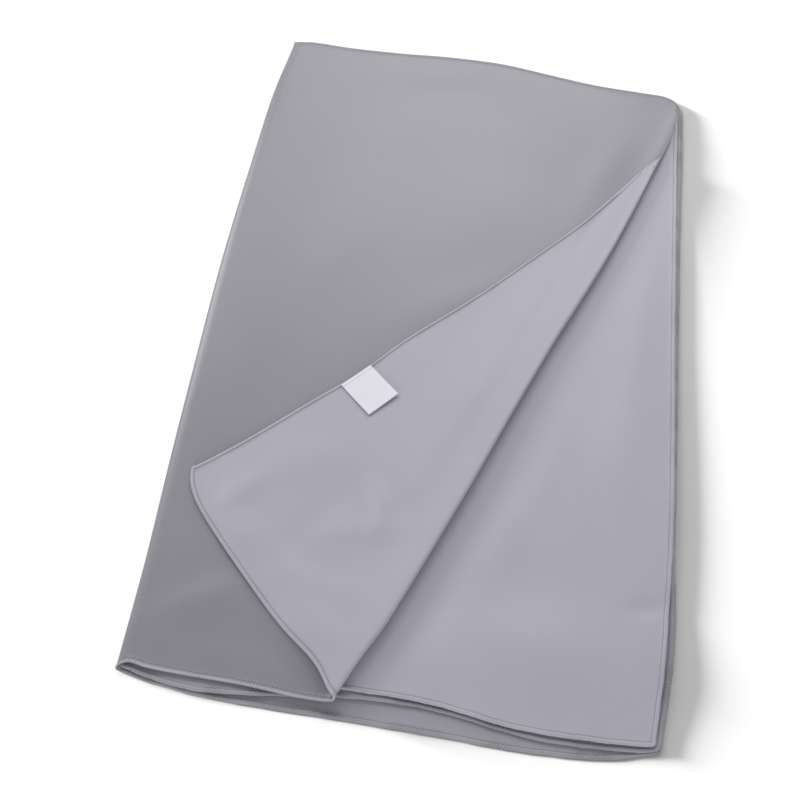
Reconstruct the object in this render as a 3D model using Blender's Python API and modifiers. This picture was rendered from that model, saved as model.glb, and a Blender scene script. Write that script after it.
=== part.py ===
"""Evening stole of plain satin, folded into a flat packet with one corner turned back.

The stole is one length of cloth with a narrow rolled hem all round. It is folded in half across and in
half along, so four layers lie on each other: folds at the left and top, hems at the right and bottom. The
lower right corner of the top layer is rolled over along the diagonal, so its wrong side shows, and so does
the wrong side of the second layer. A plain label is caught in the turned-back corner's long hem.

Metres, +Z up. The origin is on the floor at the middle of the packet, +Y runs along its length to the fold.
"""
import math
from typing import NamedTuple

import bmesh
import bpy
from mathutils import Vector

# Sizes of the cloth: the cut of the stole, before it is folded
STOLE_LENGTH = 1.80
STOLE_WIDTH = 1.10

# Thickness of a wall of cloth, of the hem's bead, and the gap that neighbours keep
WALL = 0.0012
BEAD = 0.0022
GAP = 0.0003
HEM_WIDTH = 0.0055

# Height of the hidden layers' top, slack over it, and the other layers' middle surfaces above the floor
BELOW_TOP = 0.0047
SLACK = 0.0002
SECOND_LEVEL = BELOW_TOP + SLACK + GAP + BEAD / 2
TOP_LEVEL = SECOND_LEVEL + WALL / 2 + GAP + BEAD / 2

# The folds at the left and the top: how far in they curve, and how high above the floor the top layer ends
FOLD_REACH = 0.012
FOLD_RIM = 0.0029
TUCK = 0.014

# The turned-back corner: lean of the roll from +Y, clearance over the top layer, and how far the slope runs
ROLL_LEAN = math.radians(21.05)
FLAP_LIFT = 0.0024
SLOPE_SHARE = 0.8
SLOPE_LEAST = 0.020
SLOPE_MOST = 0.072

# Its tip: where it ends, where finer rows start, and the most of a row's cloth that the roll takes there
FLAP_TIP = 0.300
FINE_FROM = 0.255
ROLL_MOST = 0.6

# Rows bend to meet the roll past this share of the flat stretch, and settle there in a few rounds
BEND_FROM = 0.5
SETTLE_ROUNDS = 3

# Distances out from the roll over which the swelling of the uncovered layer sets in
BARE_FROM = 0.012
BARE_FULL = 0.070

# Rounding of the hidden layers between two hems, and of every layer between its hem and the top fold
HEM_CORNER = 0.006
FOLD_CORNER = 0.028
FOLD_CORNER_X = 0.2670
FOLD_CORNER_Y = 0.4505
SECOND_CORNER_X = 0.2635

# The label: its middle, the direction of its sewn side from +X, its size and its clearance over the cloth
LABEL_X = -0.0775
LABEL_Y = -0.0925
LABEL_TURN = math.radians(49.0)
LABEL_WIDTH = 0.0430
LABEL_DEPTH = 0.0490
LABEL_WALL = 0.0010
LABEL_LIFT = 0.0003

# Facets: steps of the grids and of the rings, and how far the flat stretch's columns crowd to the right
FOLD_STEPS = 4
FLAT_COLUMNS = 10
FLAT_CROWDING = 1.5
ROLL_COLUMNS = 12
FLAP_COLUMNS = 8
FLAP_STEPS = 16
LONG_ROWS = 22
TIP_ROWS = 14
SECOND_COLUMNS = 14
SECOND_ROWS = 20
RING_SIDE_STEPS = 26
RING_END_STEPS = 18
CORNER_STEPS = 4
LABEL_STEPS = 5
SECTION_STEPS = 3
SHARP_EDGE = math.radians(35.0)

# Colours of the satin's face, its wrong side, the folded layers and the label
FACE_GREY = (0.31, 0.31, 0.33)
WRONG_SIDE_GREY = (0.43, 0.43, 0.47)
FOLDED_GREY = (0.33, 0.33, 0.36)
LABEL_WHITE = (0.86, 0.86, 0.90)


class Side(NamedTuple):
    """Where the layers end at the left and right, at one place along the length."""
    y: float
    left: float
    lowest: float
    third: float
    second: float


class End(NamedTuple):
    """Where the layers end at the top and bottom, at one place across the width."""
    x: float
    top: float
    lowest: float
    third: float
    second: float
    first: float


class Roll(NamedTuple):
    """The roll at one place along the length: its outermost line, height, and share of the turn."""
    y: float
    x: float
    height: float
    turned: float


class Turn(NamedTuple):
    """A point of the roll's section, out from its outermost line and up, as shares of its height."""
    out: float
    up: float


class Hem(NamedTuple):
    """A point that a turned-back hem passes, seen from above."""
    x: float
    y: float


class HemStep(NamedTuple):
    """A point of the hem's section: its inset as a share of the hem's width, and its share of the bead."""
    inset: float
    bead: float


class Ring(NamedTuple):
    """One outline round the hidden layers: its height, the layer whose hem it follows, and its insets."""
    height: float
    layer: str
    hem_inset: float
    fold_inset: float
    fold_round: float


class Swell(NamedTuple):
    """A soft rise of the cloth: middle, half length, half width, direction from +X in degrees, height."""
    x: float
    y: float
    length: float
    width: float
    direction: float
    height: float


SIDES = (
    Side(-0.440, -0.270, 0.268, 0.266, 0.264),
    Side(-0.330, -0.271, 0.279, 0.276, 0.272),
    Side(-0.215, -0.275, 0.277, 0.275, 0.273),
    Side(-0.100, -0.278, 0.276, 0.273, 0.271),
    Side(0.055, -0.281, 0.274, 0.271, 0.268),
    Side(0.230, -0.279, 0.272, 0.269, 0.265),
    Side(0.345, -0.276, 0.272, 0.268, 0.263),
    Side(0.435, -0.268, 0.270, 0.266, 0.262),
)

ENDS = (
    End(-0.270, 0.434, -0.445, -0.441, -0.421, -0.439),
    End(-0.257, 0.436, -0.448, -0.444, -0.424, -0.4375),
    End(-0.240, 0.439, -0.451, -0.448, -0.427, -0.440),
    End(-0.190, 0.440, -0.456, -0.453, -0.430, -0.441),
    End(-0.120, 0.446, -0.457, -0.446, -0.429, -0.440),
    End(-0.055, 0.454, -0.456, -0.436, -0.428, -0.443),
    End(0.015, 0.458, -0.456, -0.432, -0.427, -0.443),
    End(0.060, 0.455, -0.456, -0.434, -0.430, -0.443),
    End(0.105, 0.451, -0.457, -0.440, -0.436, -0.443),
    End(0.150, 0.448, -0.456, -0.444, -0.438, -0.443),
    End(0.210, 0.449, -0.451, -0.442, -0.436, -0.443),
    End(0.250, 0.450, -0.441, -0.438, -0.433, -0.443),
    End(0.270, 0.449, -0.434, -0.433, -0.430, -0.443),
)

ROLLS = (
    Roll(-0.443, -0.057, 0.0145, 1.00),
    Roll(-0.400, -0.038, 0.0165, 1.00),
    Roll(-0.355, -0.016, 0.0180, 1.00),
    Roll(-0.197, 0.046, 0.0185, 1.00),
    Roll(-0.096, 0.083, 0.0180, 1.00),
    Roll(0.012, 0.124, 0.0170, 1.00),
    Roll(0.070, 0.148, 0.0162, 1.00),
    Roll(0.148, 0.179, 0.0150, 1.00),
    Roll(0.200, 0.1975, 0.0141, 1.00),
    Roll(0.252, 0.215, 0.0132, 1.00),
    Roll(0.300, 0.2305, 0.0124, 1.00),
    Roll(0.328, 0.2405, 0.0118, 0.75),
    Roll(0.367, 0.255, 0.0105, 0.63),
    Roll(0.400, 0.262, 0.0080, 0.53),
    Roll(0.440, 0.2635, 0.0040, 0.42),
)
BOTTOM_ROW_Y = ROLLS[0].y

HEM_SECTION = (
    HemStep(0.00, 0.3),
    HemStep(0.22, 1.0),
    HemStep(0.78, 1.0),
    HemStep(1.00, 0.0),
)

# The roll's section, from where the cloth leaves the layer below to the crest of the roll
SECTION = (
    Turn(-2.40, 0.000),
    Turn(-1.60, 0.015),
    Turn(-0.95, 0.075),
    Turn(-0.45, 0.190),
    Turn(-0.14, 0.340),
    Turn(0.00, 0.540),
    Turn(-0.03, 0.740),
    Turn(-0.14, 0.900),
    Turn(-0.32, 0.985),
    Turn(-0.58, 1.000),
)
OUTERMOST = 5

# The long hem of the turned-back corner, from the corner to where it meets the roll's crest
LONG_HEM = (
    Hem(-0.249, -0.222),
    Hem(-0.235, -0.212),
    Hem(-0.193, -0.173),
    Hem(-0.137, -0.116),
    Hem(-0.092, -0.071),
    Hem(-0.045, -0.014),
    Hem(0.032, 0.066),
    Hem(0.099, 0.144),
    Hem(0.145, 0.199),
    Hem(0.181, 0.250),
    Hem(0.205, 0.283),
    Hem(0.223, 0.306),
)

# The short hem, from the crest of the roll's open end to the turned-back corner
SHORT_HEM = (
    Hem(-0.082, -0.409),
    Hem(-0.122, -0.377),
    Hem(-0.165, -0.336),
    Hem(-0.210, -0.290),
    Hem(-0.234, -0.262),
    Hem(-0.246, -0.240),
    Hem(-0.249, -0.222),
)

RINGS = (
    Ring(0.0000, "lowest", 0.0014, 0.0025, 0.006),
    Ring(0.0006, "lowest", 0.0003, 0.0008, 0.006),
    Ring(0.0014, "lowest", 0.0000, 0.0001, 0.006),
    Ring(0.0022, "lowest", 0.0006, 0.0002, 0.006),
    Ring(0.0023, "lowest", 0.0050, 0.0034, 0.014),
    Ring(0.0026, "third", 0.0045, 0.0036, 0.016),
    Ring(0.0030, "third", 0.0007, 0.0039, 0.018),
    Ring(0.0037, "third", 0.0000, 0.0044, 0.020),
    Ring(0.0044, "third", 0.0006, 0.0051, 0.024),
    Ring(BELOW_TOP, "third", 0.0022, 0.0060, 0.026),
)

TOP_SWELLS = (
    Swell(-0.150, 0.300, 0.130, 0.050, 25.0, 0.0018),
    Swell(0.060, 0.330, 0.120, 0.045, -20.0, 0.0020),
    Swell(-0.190, 0.060, 0.150, 0.045, 80.0, 0.0014),
    Swell(0.020, 0.180, 0.110, 0.050, 40.0, 0.0012),
    Swell(-0.220, -0.340, 0.070, 0.035, -50.0, 0.0016),
)

SECOND_SWELLS = (
    Swell(0.160, -0.330, 0.090, 0.045, 20.0, 0.0022),
    Swell(0.200, -0.120, 0.110, 0.040, 75.0, 0.0018),
    Swell(0.090, -0.250, 0.080, 0.030, 60.0, 0.0016),
    Swell(0.225, 0.120, 0.100, 0.025, 85.0, 0.0012),
)

FLAP_SWELLS = (
    Swell(-0.020, -0.160, 0.150, 0.035, 60.0, 0.0036),
    Swell(-0.130, -0.190, 0.060, 0.030, 20.0, 0.0022),
    Swell(-0.150, -0.300, 0.050, 0.020, -40.0, 0.0026),
    Swell(-0.200, -0.235, 0.030, 0.016, -60.0, 0.0014),
    Swell(0.060, 0.030, 0.110, 0.025, 62.0, 0.0020),
)


def eased(rows, column, station):
    """A named column's value at a station, eased between the table's rows by a cubic."""
    keys = [row[0] for row in rows]
    values = [getattr(row, column) for row in rows]
    last = len(keys) - 1
    station = min(max(station, keys[0]), keys[last])
    high = next(i for i in range(1, last + 1) if station <= keys[i])
    low = high - 1

    def slope(i):
        before, after = max(i - 1, 0), min(i + 1, last)
        return (values[after] - values[before]) / (keys[after] - keys[before])

    span = keys[high] - keys[low]
    t = (station - keys[low]) / span
    rise = 3 * t ** 2 - 2 * t ** 3
    return ((1 - rise) * values[low] + rise * values[high]
            + span * (t ** 3 - 2 * t ** 2 + t) * slope(low)
            + span * (t ** 3 - t ** 2) * slope(high))


def smooth_step(low, high, value):
    """Rises from 0 at low to 1 at high, level at both."""
    t = min(max((value - low) / (high - low), 0.0), 1.0)
    return t * t * (3 - 2 * t)


def swell_height(swells, x, y):
    """Height that the soft rises give the cloth at a place."""
    height = 0.0
    for swell in swells:
        turn = math.radians(swell.direction)
        dx, dy = x - swell.x, y - swell.y
        along = (dx * math.cos(turn) + dy * math.sin(turn)) / swell.length
        across = (dy * math.cos(turn) - dx * math.sin(turn)) / swell.width
        height += swell.height * math.exp(-along ** 2 - across ** 2)
    return height


def smooth_path(points, steps):
    """Points along a Catmull-Rom curve through the given points."""
    path = [points[0].copy()]
    last = len(points) - 1
    for i in range(last):
        before, after = points[max(i - 1, 0)], points[min(i + 2, last)]
        start, end = points[i], points[i + 1]
        for step in range(1, steps + 1):
            t = step / steps
            path.append(0.5 * ((2 * start) + (end - before) * t
                               + (2 * before - 5 * start + 4 * end - after) * t ** 2
                               + (3 * start - before - 3 * end + after) * t ** 3))
    return path


def lengths_of(path):
    """Distance along a path to each of its points."""
    lengths = [0.0]
    for start, end in zip(path, path[1:]):
        lengths.append(lengths[-1] + (end - start).length)
    return lengths


def point_at(path, lengths, distance):
    """The point that lies a distance along a path."""
    distance = min(max(distance, 0.0), lengths[-1])
    for i in range(1, len(lengths)):
        if distance <= lengths[i]:
            share = (distance - lengths[i - 1]) / (lengths[i] - lengths[i - 1])
            return path[i - 1].lerp(path[i], share)
    return path[-1].copy()


def round_corner(place, corner_x):
    """Draws a place in behind the rounding between a hem at corner_x and the top fold."""
    run = min(max(place.x - corner_x + FOLD_CORNER, 0.0), FOLD_CORNER)
    drop = FOLD_CORNER - math.sqrt(FOLD_CORNER ** 2 - run ** 2)
    place.y -= drop * smooth_step(FOLD_CORNER_Y - 2 * FOLD_CORNER, FOLD_CORNER_Y, place.y)


def top_layer_level(x, y):
    """Height of the top layer's middle surface where it lies flat."""
    return TOP_LEVEL + swell_height(TOP_SWELLS, x, y)


def flap_level(x, y):
    """Height of the turned-back corner's middle surface where it lies on the top layer."""
    return top_layer_level(x, y) + FLAP_LIFT + swell_height(FLAP_SWELLS, x, y)


def hem_steps(room=1.0):
    """Distances in from a hem's edge and the share of the bead there, within the room that there is."""
    fit = min(1.0, room / (2 * HEM_WIDTH))
    return [(step.inset * HEM_WIDTH * fit, step.bead) for step in HEM_SECTION]


# The roll and the turned-back corner

OUT = Vector((math.cos(ROLL_LEAN), -math.sin(ROLL_LEAN), 0.0))
ALONG = Vector((math.sin(ROLL_LEAN), math.cos(ROLL_LEAN), 0.0))
DRIFT = math.tan(ROLL_LEAN)
SECTION_PATH = smooth_path([Vector((turn.out, 0.0, turn.up)) for turn in SECTION], SECTION_STEPS)
SECTION_LENGTHS = lengths_of(SECTION_PATH)
OUTERMOST_LENGTH = SECTION_LENGTHS[OUTERMOST * SECTION_STEPS]
LONG_HEM_PATH = smooth_path([Vector((hem.x, hem.y, 0.0)) for hem in LONG_HEM], SECTION_STEPS)
LONG_HEM_LENGTHS = lengths_of(LONG_HEM_PATH)


def roll_section(y):
    """The cloth's path round the roll on the row that crosses the roll's outermost line at y."""
    x = eased(ROLLS, "x", y)
    height = eased(ROLLS, "height", y)
    turned = min(eased(ROLLS, "turned", y), 1.0)
    end = turned * SECTION_LENGTHS[-1]
    shares = [length for length in SECTION_LENGTHS if length < end] + [end]
    path = []
    for length in shares:
        turn = point_at(SECTION_PATH, SECTION_LENGTHS, length)
        place = Vector((x, y, 0.0)) + OUT * turn.x * height
        place += ALONG * DRIFT * (length - OUTERMOST_LENGTH) * height
        place.z = top_layer_level(place.x, place.y) + turn.z * height
        path.append(place)
    return path


def short_hem_path():
    """The short hem seen from above, from the roll's crest to the turned-back corner."""
    crest = roll_section(BOTTOM_ROW_Y)[-1]
    points = [Vector((crest.x, crest.y, 0.0))] + [Vector((hem.x, hem.y, 0.0)) for hem in SHORT_HEM]
    return smooth_path(points, SECTION_STEPS)


SHORT_HEM_PATH = short_hem_path()
SHORT_HEM_LENGTHS = lengths_of(SHORT_HEM_PATH)


def flap_path(y):
    """The cloth's path from the roll's crest over the turned-back corner to its long hem."""
    crest = roll_section(y)[-1]
    share = (y - BOTTOM_ROW_Y) / (FLAP_TIP - BOTTOM_ROW_Y)
    hem = point_at(LONG_HEM_PATH, LONG_HEM_LENGTHS, share * LONG_HEM_LENGTHS[-1])
    corner = LONG_HEM_PATH[0]
    first_crest = SHORT_HEM_PATH[0]
    width = (Vector((hem.x, hem.y, 0.0)) - Vector((crest.x, crest.y, 0.0))).length
    slope = min(max(SLOPE_SHARE * width, SLOPE_LEAST), SLOPE_MOST)
    drop = eased(ROLLS, "height", y) - FLAP_LIFT
    path = []
    for step in range(1, FLAP_STEPS + 1):
        across = step / FLAP_STEPS
        flat = Vector((crest.x, crest.y, 0.0)).lerp(hem, across)
        bow = point_at(SHORT_HEM_PATH, SHORT_HEM_LENGTHS, across * SHORT_HEM_LENGTHS[-1])
        bow -= first_crest.lerp(corner, across)
        place = flat + (1 - share) * bow
        lying = smooth_step(0.0, slope, across * width)
        high = top_layer_level(place.x, place.y) + FLAP_LIFT + drop
        place.z = high + (flap_level(place.x, place.y) - high) * lying
        path.append(place)
    return path


def rolled_path(y):
    """The cloth's whole path from where it leaves the layer below to the long hem."""
    path = roll_section(y)
    if y < FLAP_TIP:
        path += flap_path(y)
    return path


def rolled_row(y):
    """Points and bead shares along one row, from the roll's start to the long hem."""
    path = rolled_path(y)
    lengths = lengths_of(path)
    total = lengths[-1]
    section = SECTION_LENGTHS[-1] * eased(ROLLS, "height", y)
    roll = min(section, ROLL_MOST * total)
    hem = hem_steps(total - roll)
    flap = total - roll - hem[-1][0]
    places = [(roll * i / ROLL_COLUMNS, 0.0) for i in range(ROLL_COLUMNS)]
    places += [(roll + flap * i / FLAP_COLUMNS, 0.0) for i in range(FLAP_COLUMNS)]
    places += [(total - inset, bead) for inset, bead in reversed(hem)]
    return [(point_at(path, lengths, distance), bead) for distance, bead in places]


# The top layer

def top_row_y(x, row, outer=0.0):
    """Where one row of the top layer lies along the length: the first rows are the bottom hem's.

    Outer is the share of the way round the left fold, where the hem runs on to the lowest layer's.
    """
    hem = hem_steps()
    first = eased(ENDS, "first", x)
    bottom = first + (eased(ENDS, "lowest", x) - first) * outer
    if row < len(hem):
        return bottom + hem[row][0]
    start = bottom + HEM_WIDTH
    step = row - len(hem) + 1
    if step <= LONG_ROWS:
        return start + (FINE_FROM - start) * step / LONG_ROWS
    end = eased(ENDS, "top", x) - FOLD_REACH - WALL / 2
    return FINE_FROM + (end - FINE_FROM) * (step - LONG_ROWS) / TIP_ROWS


def top_flat_row(row):
    """Points and bead shares of one row of the top layer, from the left fold to the long hem."""
    hem = hem_steps()
    row_bead = hem[row][1] if row < len(hem) else 0.0
    y = top_row_y(0.0, row)
    for _ in range(SETTLE_ROUNDS):
        y = top_row_y(eased(ROLLS, "x", y), row)
    rolled = rolled_row(y)
    start = rolled[0][0]
    points = []
    left = eased(SIDES, "left", y) + WALL / 2
    for step in range(FOLD_STEPS):
        angle = math.pi / 2 * step / FOLD_STEPS
        x = left + FOLD_REACH * (1 - math.cos(angle))
        rise = math.sin(angle)
        place = Vector((x, top_row_y(x, row, 1 - rise), 0.0))
        place.z = FOLD_RIM + (top_layer_level(place.x, place.y) - FOLD_RIM) * rise
        points.append((place, row_bead))
    for step in range(FLAT_COLUMNS):
        share = 1 - (1 - step / FLAT_COLUMNS) ** FLAT_CROWDING
        x = left + FOLD_REACH + (start.x - left - FOLD_REACH) * share
        place = Vector((x, top_row_y(x, row), 0.0))
        ease = smooth_step(BEND_FROM, 1.0, share)
        place.y += (start.y - top_row_y(start.x, row)) * ease
        place.z = top_layer_level(place.x, place.y)
        points.append((place, row_bead))
    points += [(place, max(bead, row_bead)) for place, bead in rolled]
    return points


def top_layer_rows():
    """All rows of the top layer: the bottom hem, the flat stretch and the fold at the top."""
    rows = [top_flat_row(row) for row in range(LONG_ROWS + TIP_ROWS + len(HEM_SECTION))]
    last = rows[-1]
    for step in range(1, FOLD_STEPS + 1):
        angle = math.pi / 2 * (1 - step / FOLD_STEPS)
        row = []
        for place, bead in last:
            height = FOLD_RIM + (place.z - FOLD_RIM) * math.sin(angle)
            row.append((Vector((place.x, place.y + FOLD_REACH * math.cos(angle), height)), bead))
        rows.append(row)
    for row in rows:
        for place, _ in row:
            round_corner(place, FOLD_CORNER_X)
    return rows


# The second layer

def second_row_y(x, row):
    """Where one row of the second layer lies along the length: the first rows are the bottom hem's."""
    hem = hem_steps()
    bottom = eased(ENDS, "second", x)
    if row < len(hem):
        return bottom + hem[row][0]
    start = bottom + HEM_WIDTH
    end = eased(ENDS, "top", x) - TUCK
    return start + (end - start) * (row - len(hem) + 1) / SECOND_ROWS


def second_layer_rows():
    """Rows of the second layer, flat under the top layer and softly swelling where it is uncovered."""
    hem = hem_steps()
    rows = []
    for row in range(SECOND_ROWS + len(hem)):
        row_bead = hem[row][1] if row < len(hem) else 0.0
        y = second_row_y(0.0, row)
        left = eased(SIDES, "left", y) + TUCK
        right = eased(SIDES, "second", y)
        inner = right - HEM_WIDTH
        places = [(left + (inner - left) * column / SECOND_COLUMNS, 0.0) for column in range(SECOND_COLUMNS)]
        places += [(right - inset, bead) for inset, bead in reversed(hem)]
        line = []
        for x, bead in places:
            y = second_row_y(x, row)
            bare = smooth_step(BARE_FROM, BARE_FULL, x - eased(ROLLS, "x", y))
            height = SECOND_LEVEL + swell_height(SECOND_SWELLS, x, y) * bare
            place = Vector((x, y, height))
            round_corner(place, SECOND_CORNER_X)
            line.append((place, max(bead, row_bead)))
        rows.append(line)
    return rows


# The hidden layers

def ring_points(ring):
    """The outline of one ring round the hidden layers, counter-clockwise from the lower left."""
    first_y, last_y = SIDES[0].y, SIDES[-1].y

    def place(share_x, share_y):
        y = first_y + (last_y - first_y) * share_y
        left = eased(SIDES, "left", y) + ring.fold_inset
        right = eased(SIDES, ring.layer, y) - ring.hem_inset
        x = left + (right - left) * share_x
        bottom = eased(ENDS, ring.layer, x) + ring.hem_inset
        top = eased(ENDS, "top", x) - ring.fold_inset
        return Vector((x, bottom + (top - bottom) * share_y, ring.height))

    width, length = STOLE_WIDTH / 2, STOLE_LENGTH / 2
    corners = (
        (0.0, 0.0, ring.fold_round, math.pi),
        (1.0, 0.0, HEM_CORNER, 1.5 * math.pi),
        (1.0, 1.0, max(FOLD_CORNER, ring.fold_round), 0.0),
        (0.0, 1.0, ring.fold_round, 0.5 * math.pi),
    )
    steps = (RING_END_STEPS, RING_SIDE_STEPS, RING_END_STEPS, RING_SIDE_STEPS)
    shares = []
    for corner_x, corner_y, radius, start in corners:
        middle_x = corner_x + (1 - 2 * corner_x) * radius / width
        middle_y = corner_y + (1 - 2 * corner_y) * radius / length
        for step in range(CORNER_STEPS + 1):
            angle = start + 0.5 * math.pi * step / CORNER_STEPS
            shares.append((middle_x + radius / width * math.cos(angle),
                           middle_y + radius / length * math.sin(angle)))
    outline = []
    per_corner = CORNER_STEPS + 1
    for i, count in enumerate(steps):
        arc = shares[i * per_corner:(i + 1) * per_corner]
        following = shares[(i + 1) * per_corner % len(shares)]
        outline += arc
        for step in range(1, count):
            share = step / count
            outline.append((arc[-1][0] + (following[0] - arc[-1][0]) * share,
                            arc[-1][1] + (following[1] - arc[-1][1]) * share))
    return [place(*share) for share in outline]


# The label

def label_rows():
    """Rows of the label, which follows the turned-back corner's surface just above it."""
    sewn = Vector((math.cos(LABEL_TURN), math.sin(LABEL_TURN), 0.0))
    depth = Vector((math.sin(LABEL_TURN), -math.cos(LABEL_TURN), 0.0))
    middle = Vector((LABEL_X, LABEL_Y, 0.0))
    rows = []
    for step in range(LABEL_STEPS + 1):
        line = []
        for part in range(LABEL_STEPS + 1):
            place = middle + sewn * LABEL_WIDTH * (part / LABEL_STEPS - 0.5)
            place -= depth * LABEL_DEPTH * (step / LABEL_STEPS - 0.5)
            place.z = flap_level(place.x, place.y) + WALL / 2 + GAP + LABEL_WALL / 2 + LABEL_LIFT
            line.append((place, 0.0))
        rows.append(line)
    return rows


# Objects and their materials

def satin(name, colour, roughness):
    """A Principled material of one colour and roughness."""
    material = bpy.data.materials.new(name)
    material.use_nodes = True
    shader = material.node_tree.nodes["Principled BSDF"]
    shader.inputs["Base Color"].default_value = (*colour, 1.0)
    shader.inputs["Roughness"].default_value = roughness
    shader.inputs["Metallic"].default_value = 0.0
    return material


def cloth_object(name, rows, wall, bead, material, collection):
    """A wall of cloth: an open surface through the rows' points, thickened, with a bead along its hems."""
    grid = bmesh.new()
    shares = []
    lines = []
    for row in rows:
        line = []
        for place, share in row:
            line.append(grid.verts.new(place))
            shares.append(share)
        lines.append(line)
    for low, high in zip(lines, lines[1:]):
        for i in range(len(low) - 1):
            grid.faces.new((low[i], low[i + 1], high[i + 1], high[i]))
    mesh = bpy.data.meshes.new(name)
    grid.to_mesh(mesh)
    grid.free()
    mesh.shade_smooth()
    mesh.materials.append(material)
    cloth = bpy.data.objects.new(name, mesh)
    collection.objects.link(cloth)
    group = cloth.vertex_groups.new(name="hem bead")
    for index, share in enumerate(shares):
        if share > 0.0:
            group.add([index], share, "REPLACE")
    thickness = cloth.modifiers.new("cloth wall", "SOLIDIFY")
    thickness.thickness = bead
    thickness.offset = 0.0
    thickness.vertex_group = group.name
    thickness.thickness_vertex_group = wall / bead
    return cloth


def ringed_object(name, rings, material, collection):
    """A solid lofted through closed rings, with a flat face at the bottom and at the top."""
    loft = bmesh.new()
    loops = [[loft.verts.new(place) for place in ring] for ring in rings]
    count = len(loops[0])
    for low, high in zip(loops, loops[1:]):
        for i in range(count):
            following = (i + 1) % count
            loft.faces.new((low[i], low[following], high[following], high[i]))
    loft.faces.new(list(reversed(loops[0])))
    loft.faces.new(loops[-1])
    mesh = bpy.data.meshes.new(name)
    loft.to_mesh(mesh)
    loft.free()
    mesh.shade_smooth()
    mesh.set_sharp_from_angle(angle=SHARP_EDGE)
    mesh.materials.append(material)
    solid = bpy.data.objects.new(name, mesh)
    collection.objects.link(solid)
    return solid


def clear_scene():
    """Remove whatever objects the scene starts with."""
    for item in list(bpy.data.objects):
        bpy.data.objects.remove(item, do_unlink=True)


def build():
    """Build the stole's layers and its label."""
    clear_scene()
    collection = bpy.data.collections.new("folded evening stole")
    bpy.context.scene.collection.children.link(collection)
    face = satin("silver grey satin face", FACE_GREY, roughness=0.38)
    wrong_side = satin("silver grey satin wrong side", WRONG_SIDE_GREY, roughness=0.55)
    folded = satin("silver grey satin folded layers", FOLDED_GREY, roughness=0.50)
    white = satin("white label satin", LABEL_WHITE, roughness=0.45)
    ringed_object("folded_layers_below", [ring_points(ring) for ring in RINGS], folded, collection)
    cloth_object("second_layer", second_layer_rows(), WALL, BEAD, wrong_side, collection)
    cloth_object("top_layer_turned_back", top_layer_rows(), WALL, BEAD, face, collection)
    cloth_object("care_label", label_rows(), LABEL_WALL, LABEL_WALL, white, collection)


build()
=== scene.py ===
"""Looks of an evening stole of plain satin, folded into a flat packet with one corner turned back.

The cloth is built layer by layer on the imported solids: the top layer runs over the folded left side, across, round
the soft roll along the diagonal and on as the turned-back corner. Below it lie the second, third and lowest layers,
each with its narrow rolled hem. Metres, +Z up, the origin on the floor at the middle of the packet.
"""
import logging
import math
from dataclasses import dataclass, field
from enum import Enum
from typing import Sequence

import bpy
import numpy as np
from mathutils import Matrix, Vector


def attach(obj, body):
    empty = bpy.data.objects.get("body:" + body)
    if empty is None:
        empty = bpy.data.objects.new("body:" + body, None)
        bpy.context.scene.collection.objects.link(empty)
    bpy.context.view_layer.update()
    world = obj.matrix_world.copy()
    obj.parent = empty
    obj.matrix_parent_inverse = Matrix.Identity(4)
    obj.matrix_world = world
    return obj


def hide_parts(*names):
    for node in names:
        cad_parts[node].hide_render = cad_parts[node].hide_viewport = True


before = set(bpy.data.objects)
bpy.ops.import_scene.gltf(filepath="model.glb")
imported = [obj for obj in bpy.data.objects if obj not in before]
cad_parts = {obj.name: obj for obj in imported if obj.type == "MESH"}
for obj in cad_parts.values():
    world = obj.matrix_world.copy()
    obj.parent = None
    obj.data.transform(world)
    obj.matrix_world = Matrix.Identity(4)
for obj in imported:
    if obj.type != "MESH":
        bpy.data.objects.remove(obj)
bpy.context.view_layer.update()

logging.basicConfig(level=logging.INFO, format="%(message)s")
log = logging.getLogger("stole")

MM = 0.001
BODY = "root"
CLOTH_UV = "cut"
HEM_UV = "hem"
BEAD_GROUP = "thickness"
FACING = "facing"
# A hem place this far in from every edge, in metres, draws no hem
NO_HEM = 1.0
# The least length that a normal is divided by
TINY = 1e-12
# Shares of the wall's thickness are rounded to these decimals, so that points alike are grouped at once
SHARE_DECIMALS = 3


class Slot(Enum):
    """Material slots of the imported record."""
    FACE = "satin_face"
    WRONG_SIDE = "satin_wrong_side"
    FOLDED = "satin_folded_layers"
    LABEL = "label_satin"
    THREAD = "hem_thread"


@dataclass(frozen=True)
class Cloth:
    """Driving sizes of the cloth and of the packet's layers, in metres."""
    length: float = 1.80
    width: float = 1.10
    wall: float = 0.0008
    bead: float = 0.0022
    gap: float = 0.0003
    hem_width: float = 0.0055
    # Heights of the two lowest layers' middle surfaces, and of the top of the solid that holds both
    lowest_level: float = 0.0011
    third_level: float = 0.0036
    below_top: float = 0.0047
    slack: float = 0.0002
    # The solids' cloth is thicker, and the upper layers' levels follow it
    solid_wall: float = 0.0012
    # How far the left and top folds stand out round their bend, and how high the top one's rim lies
    fold_reach: float = 0.012
    fold_rim: float = 0.0029
    flap_lift: float = 0.0024
    stitch_sink: float = 0.00005
    # Where the right hem and the top fold would meet, but for their rounding
    corner: float = 0.028
    corner_x: float = 0.2670
    corner_y: float = 0.4505

    @property
    def second_level(self) -> float:
        """Height of the second layer's middle surface."""
        return self.below_top + self.slack + self.gap + self.bead / 2

    @property
    def top_level(self) -> float:
        """Height of the top layer's middle surface."""
        return self.second_level + self.solid_wall / 2 + self.gap + self.bead / 2

    @property
    def folded(self) -> tuple[float, float]:
        """Width and length of one layer: a quarter of the cut."""
        return self.width / 2, self.length / 2


CLOTH = Cloth()


@dataclass(frozen=True)
class Side:
    """Where the layers end at the left and right, at one place along the length."""
    y: float
    left: float
    lowest: float
    third: float
    second: float


@dataclass(frozen=True)
class End:
    """Where the layers end at the top and bottom, at one place across the width."""
    x: float
    top: float
    lowest: float
    third: float
    second: float
    first: float


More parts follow.
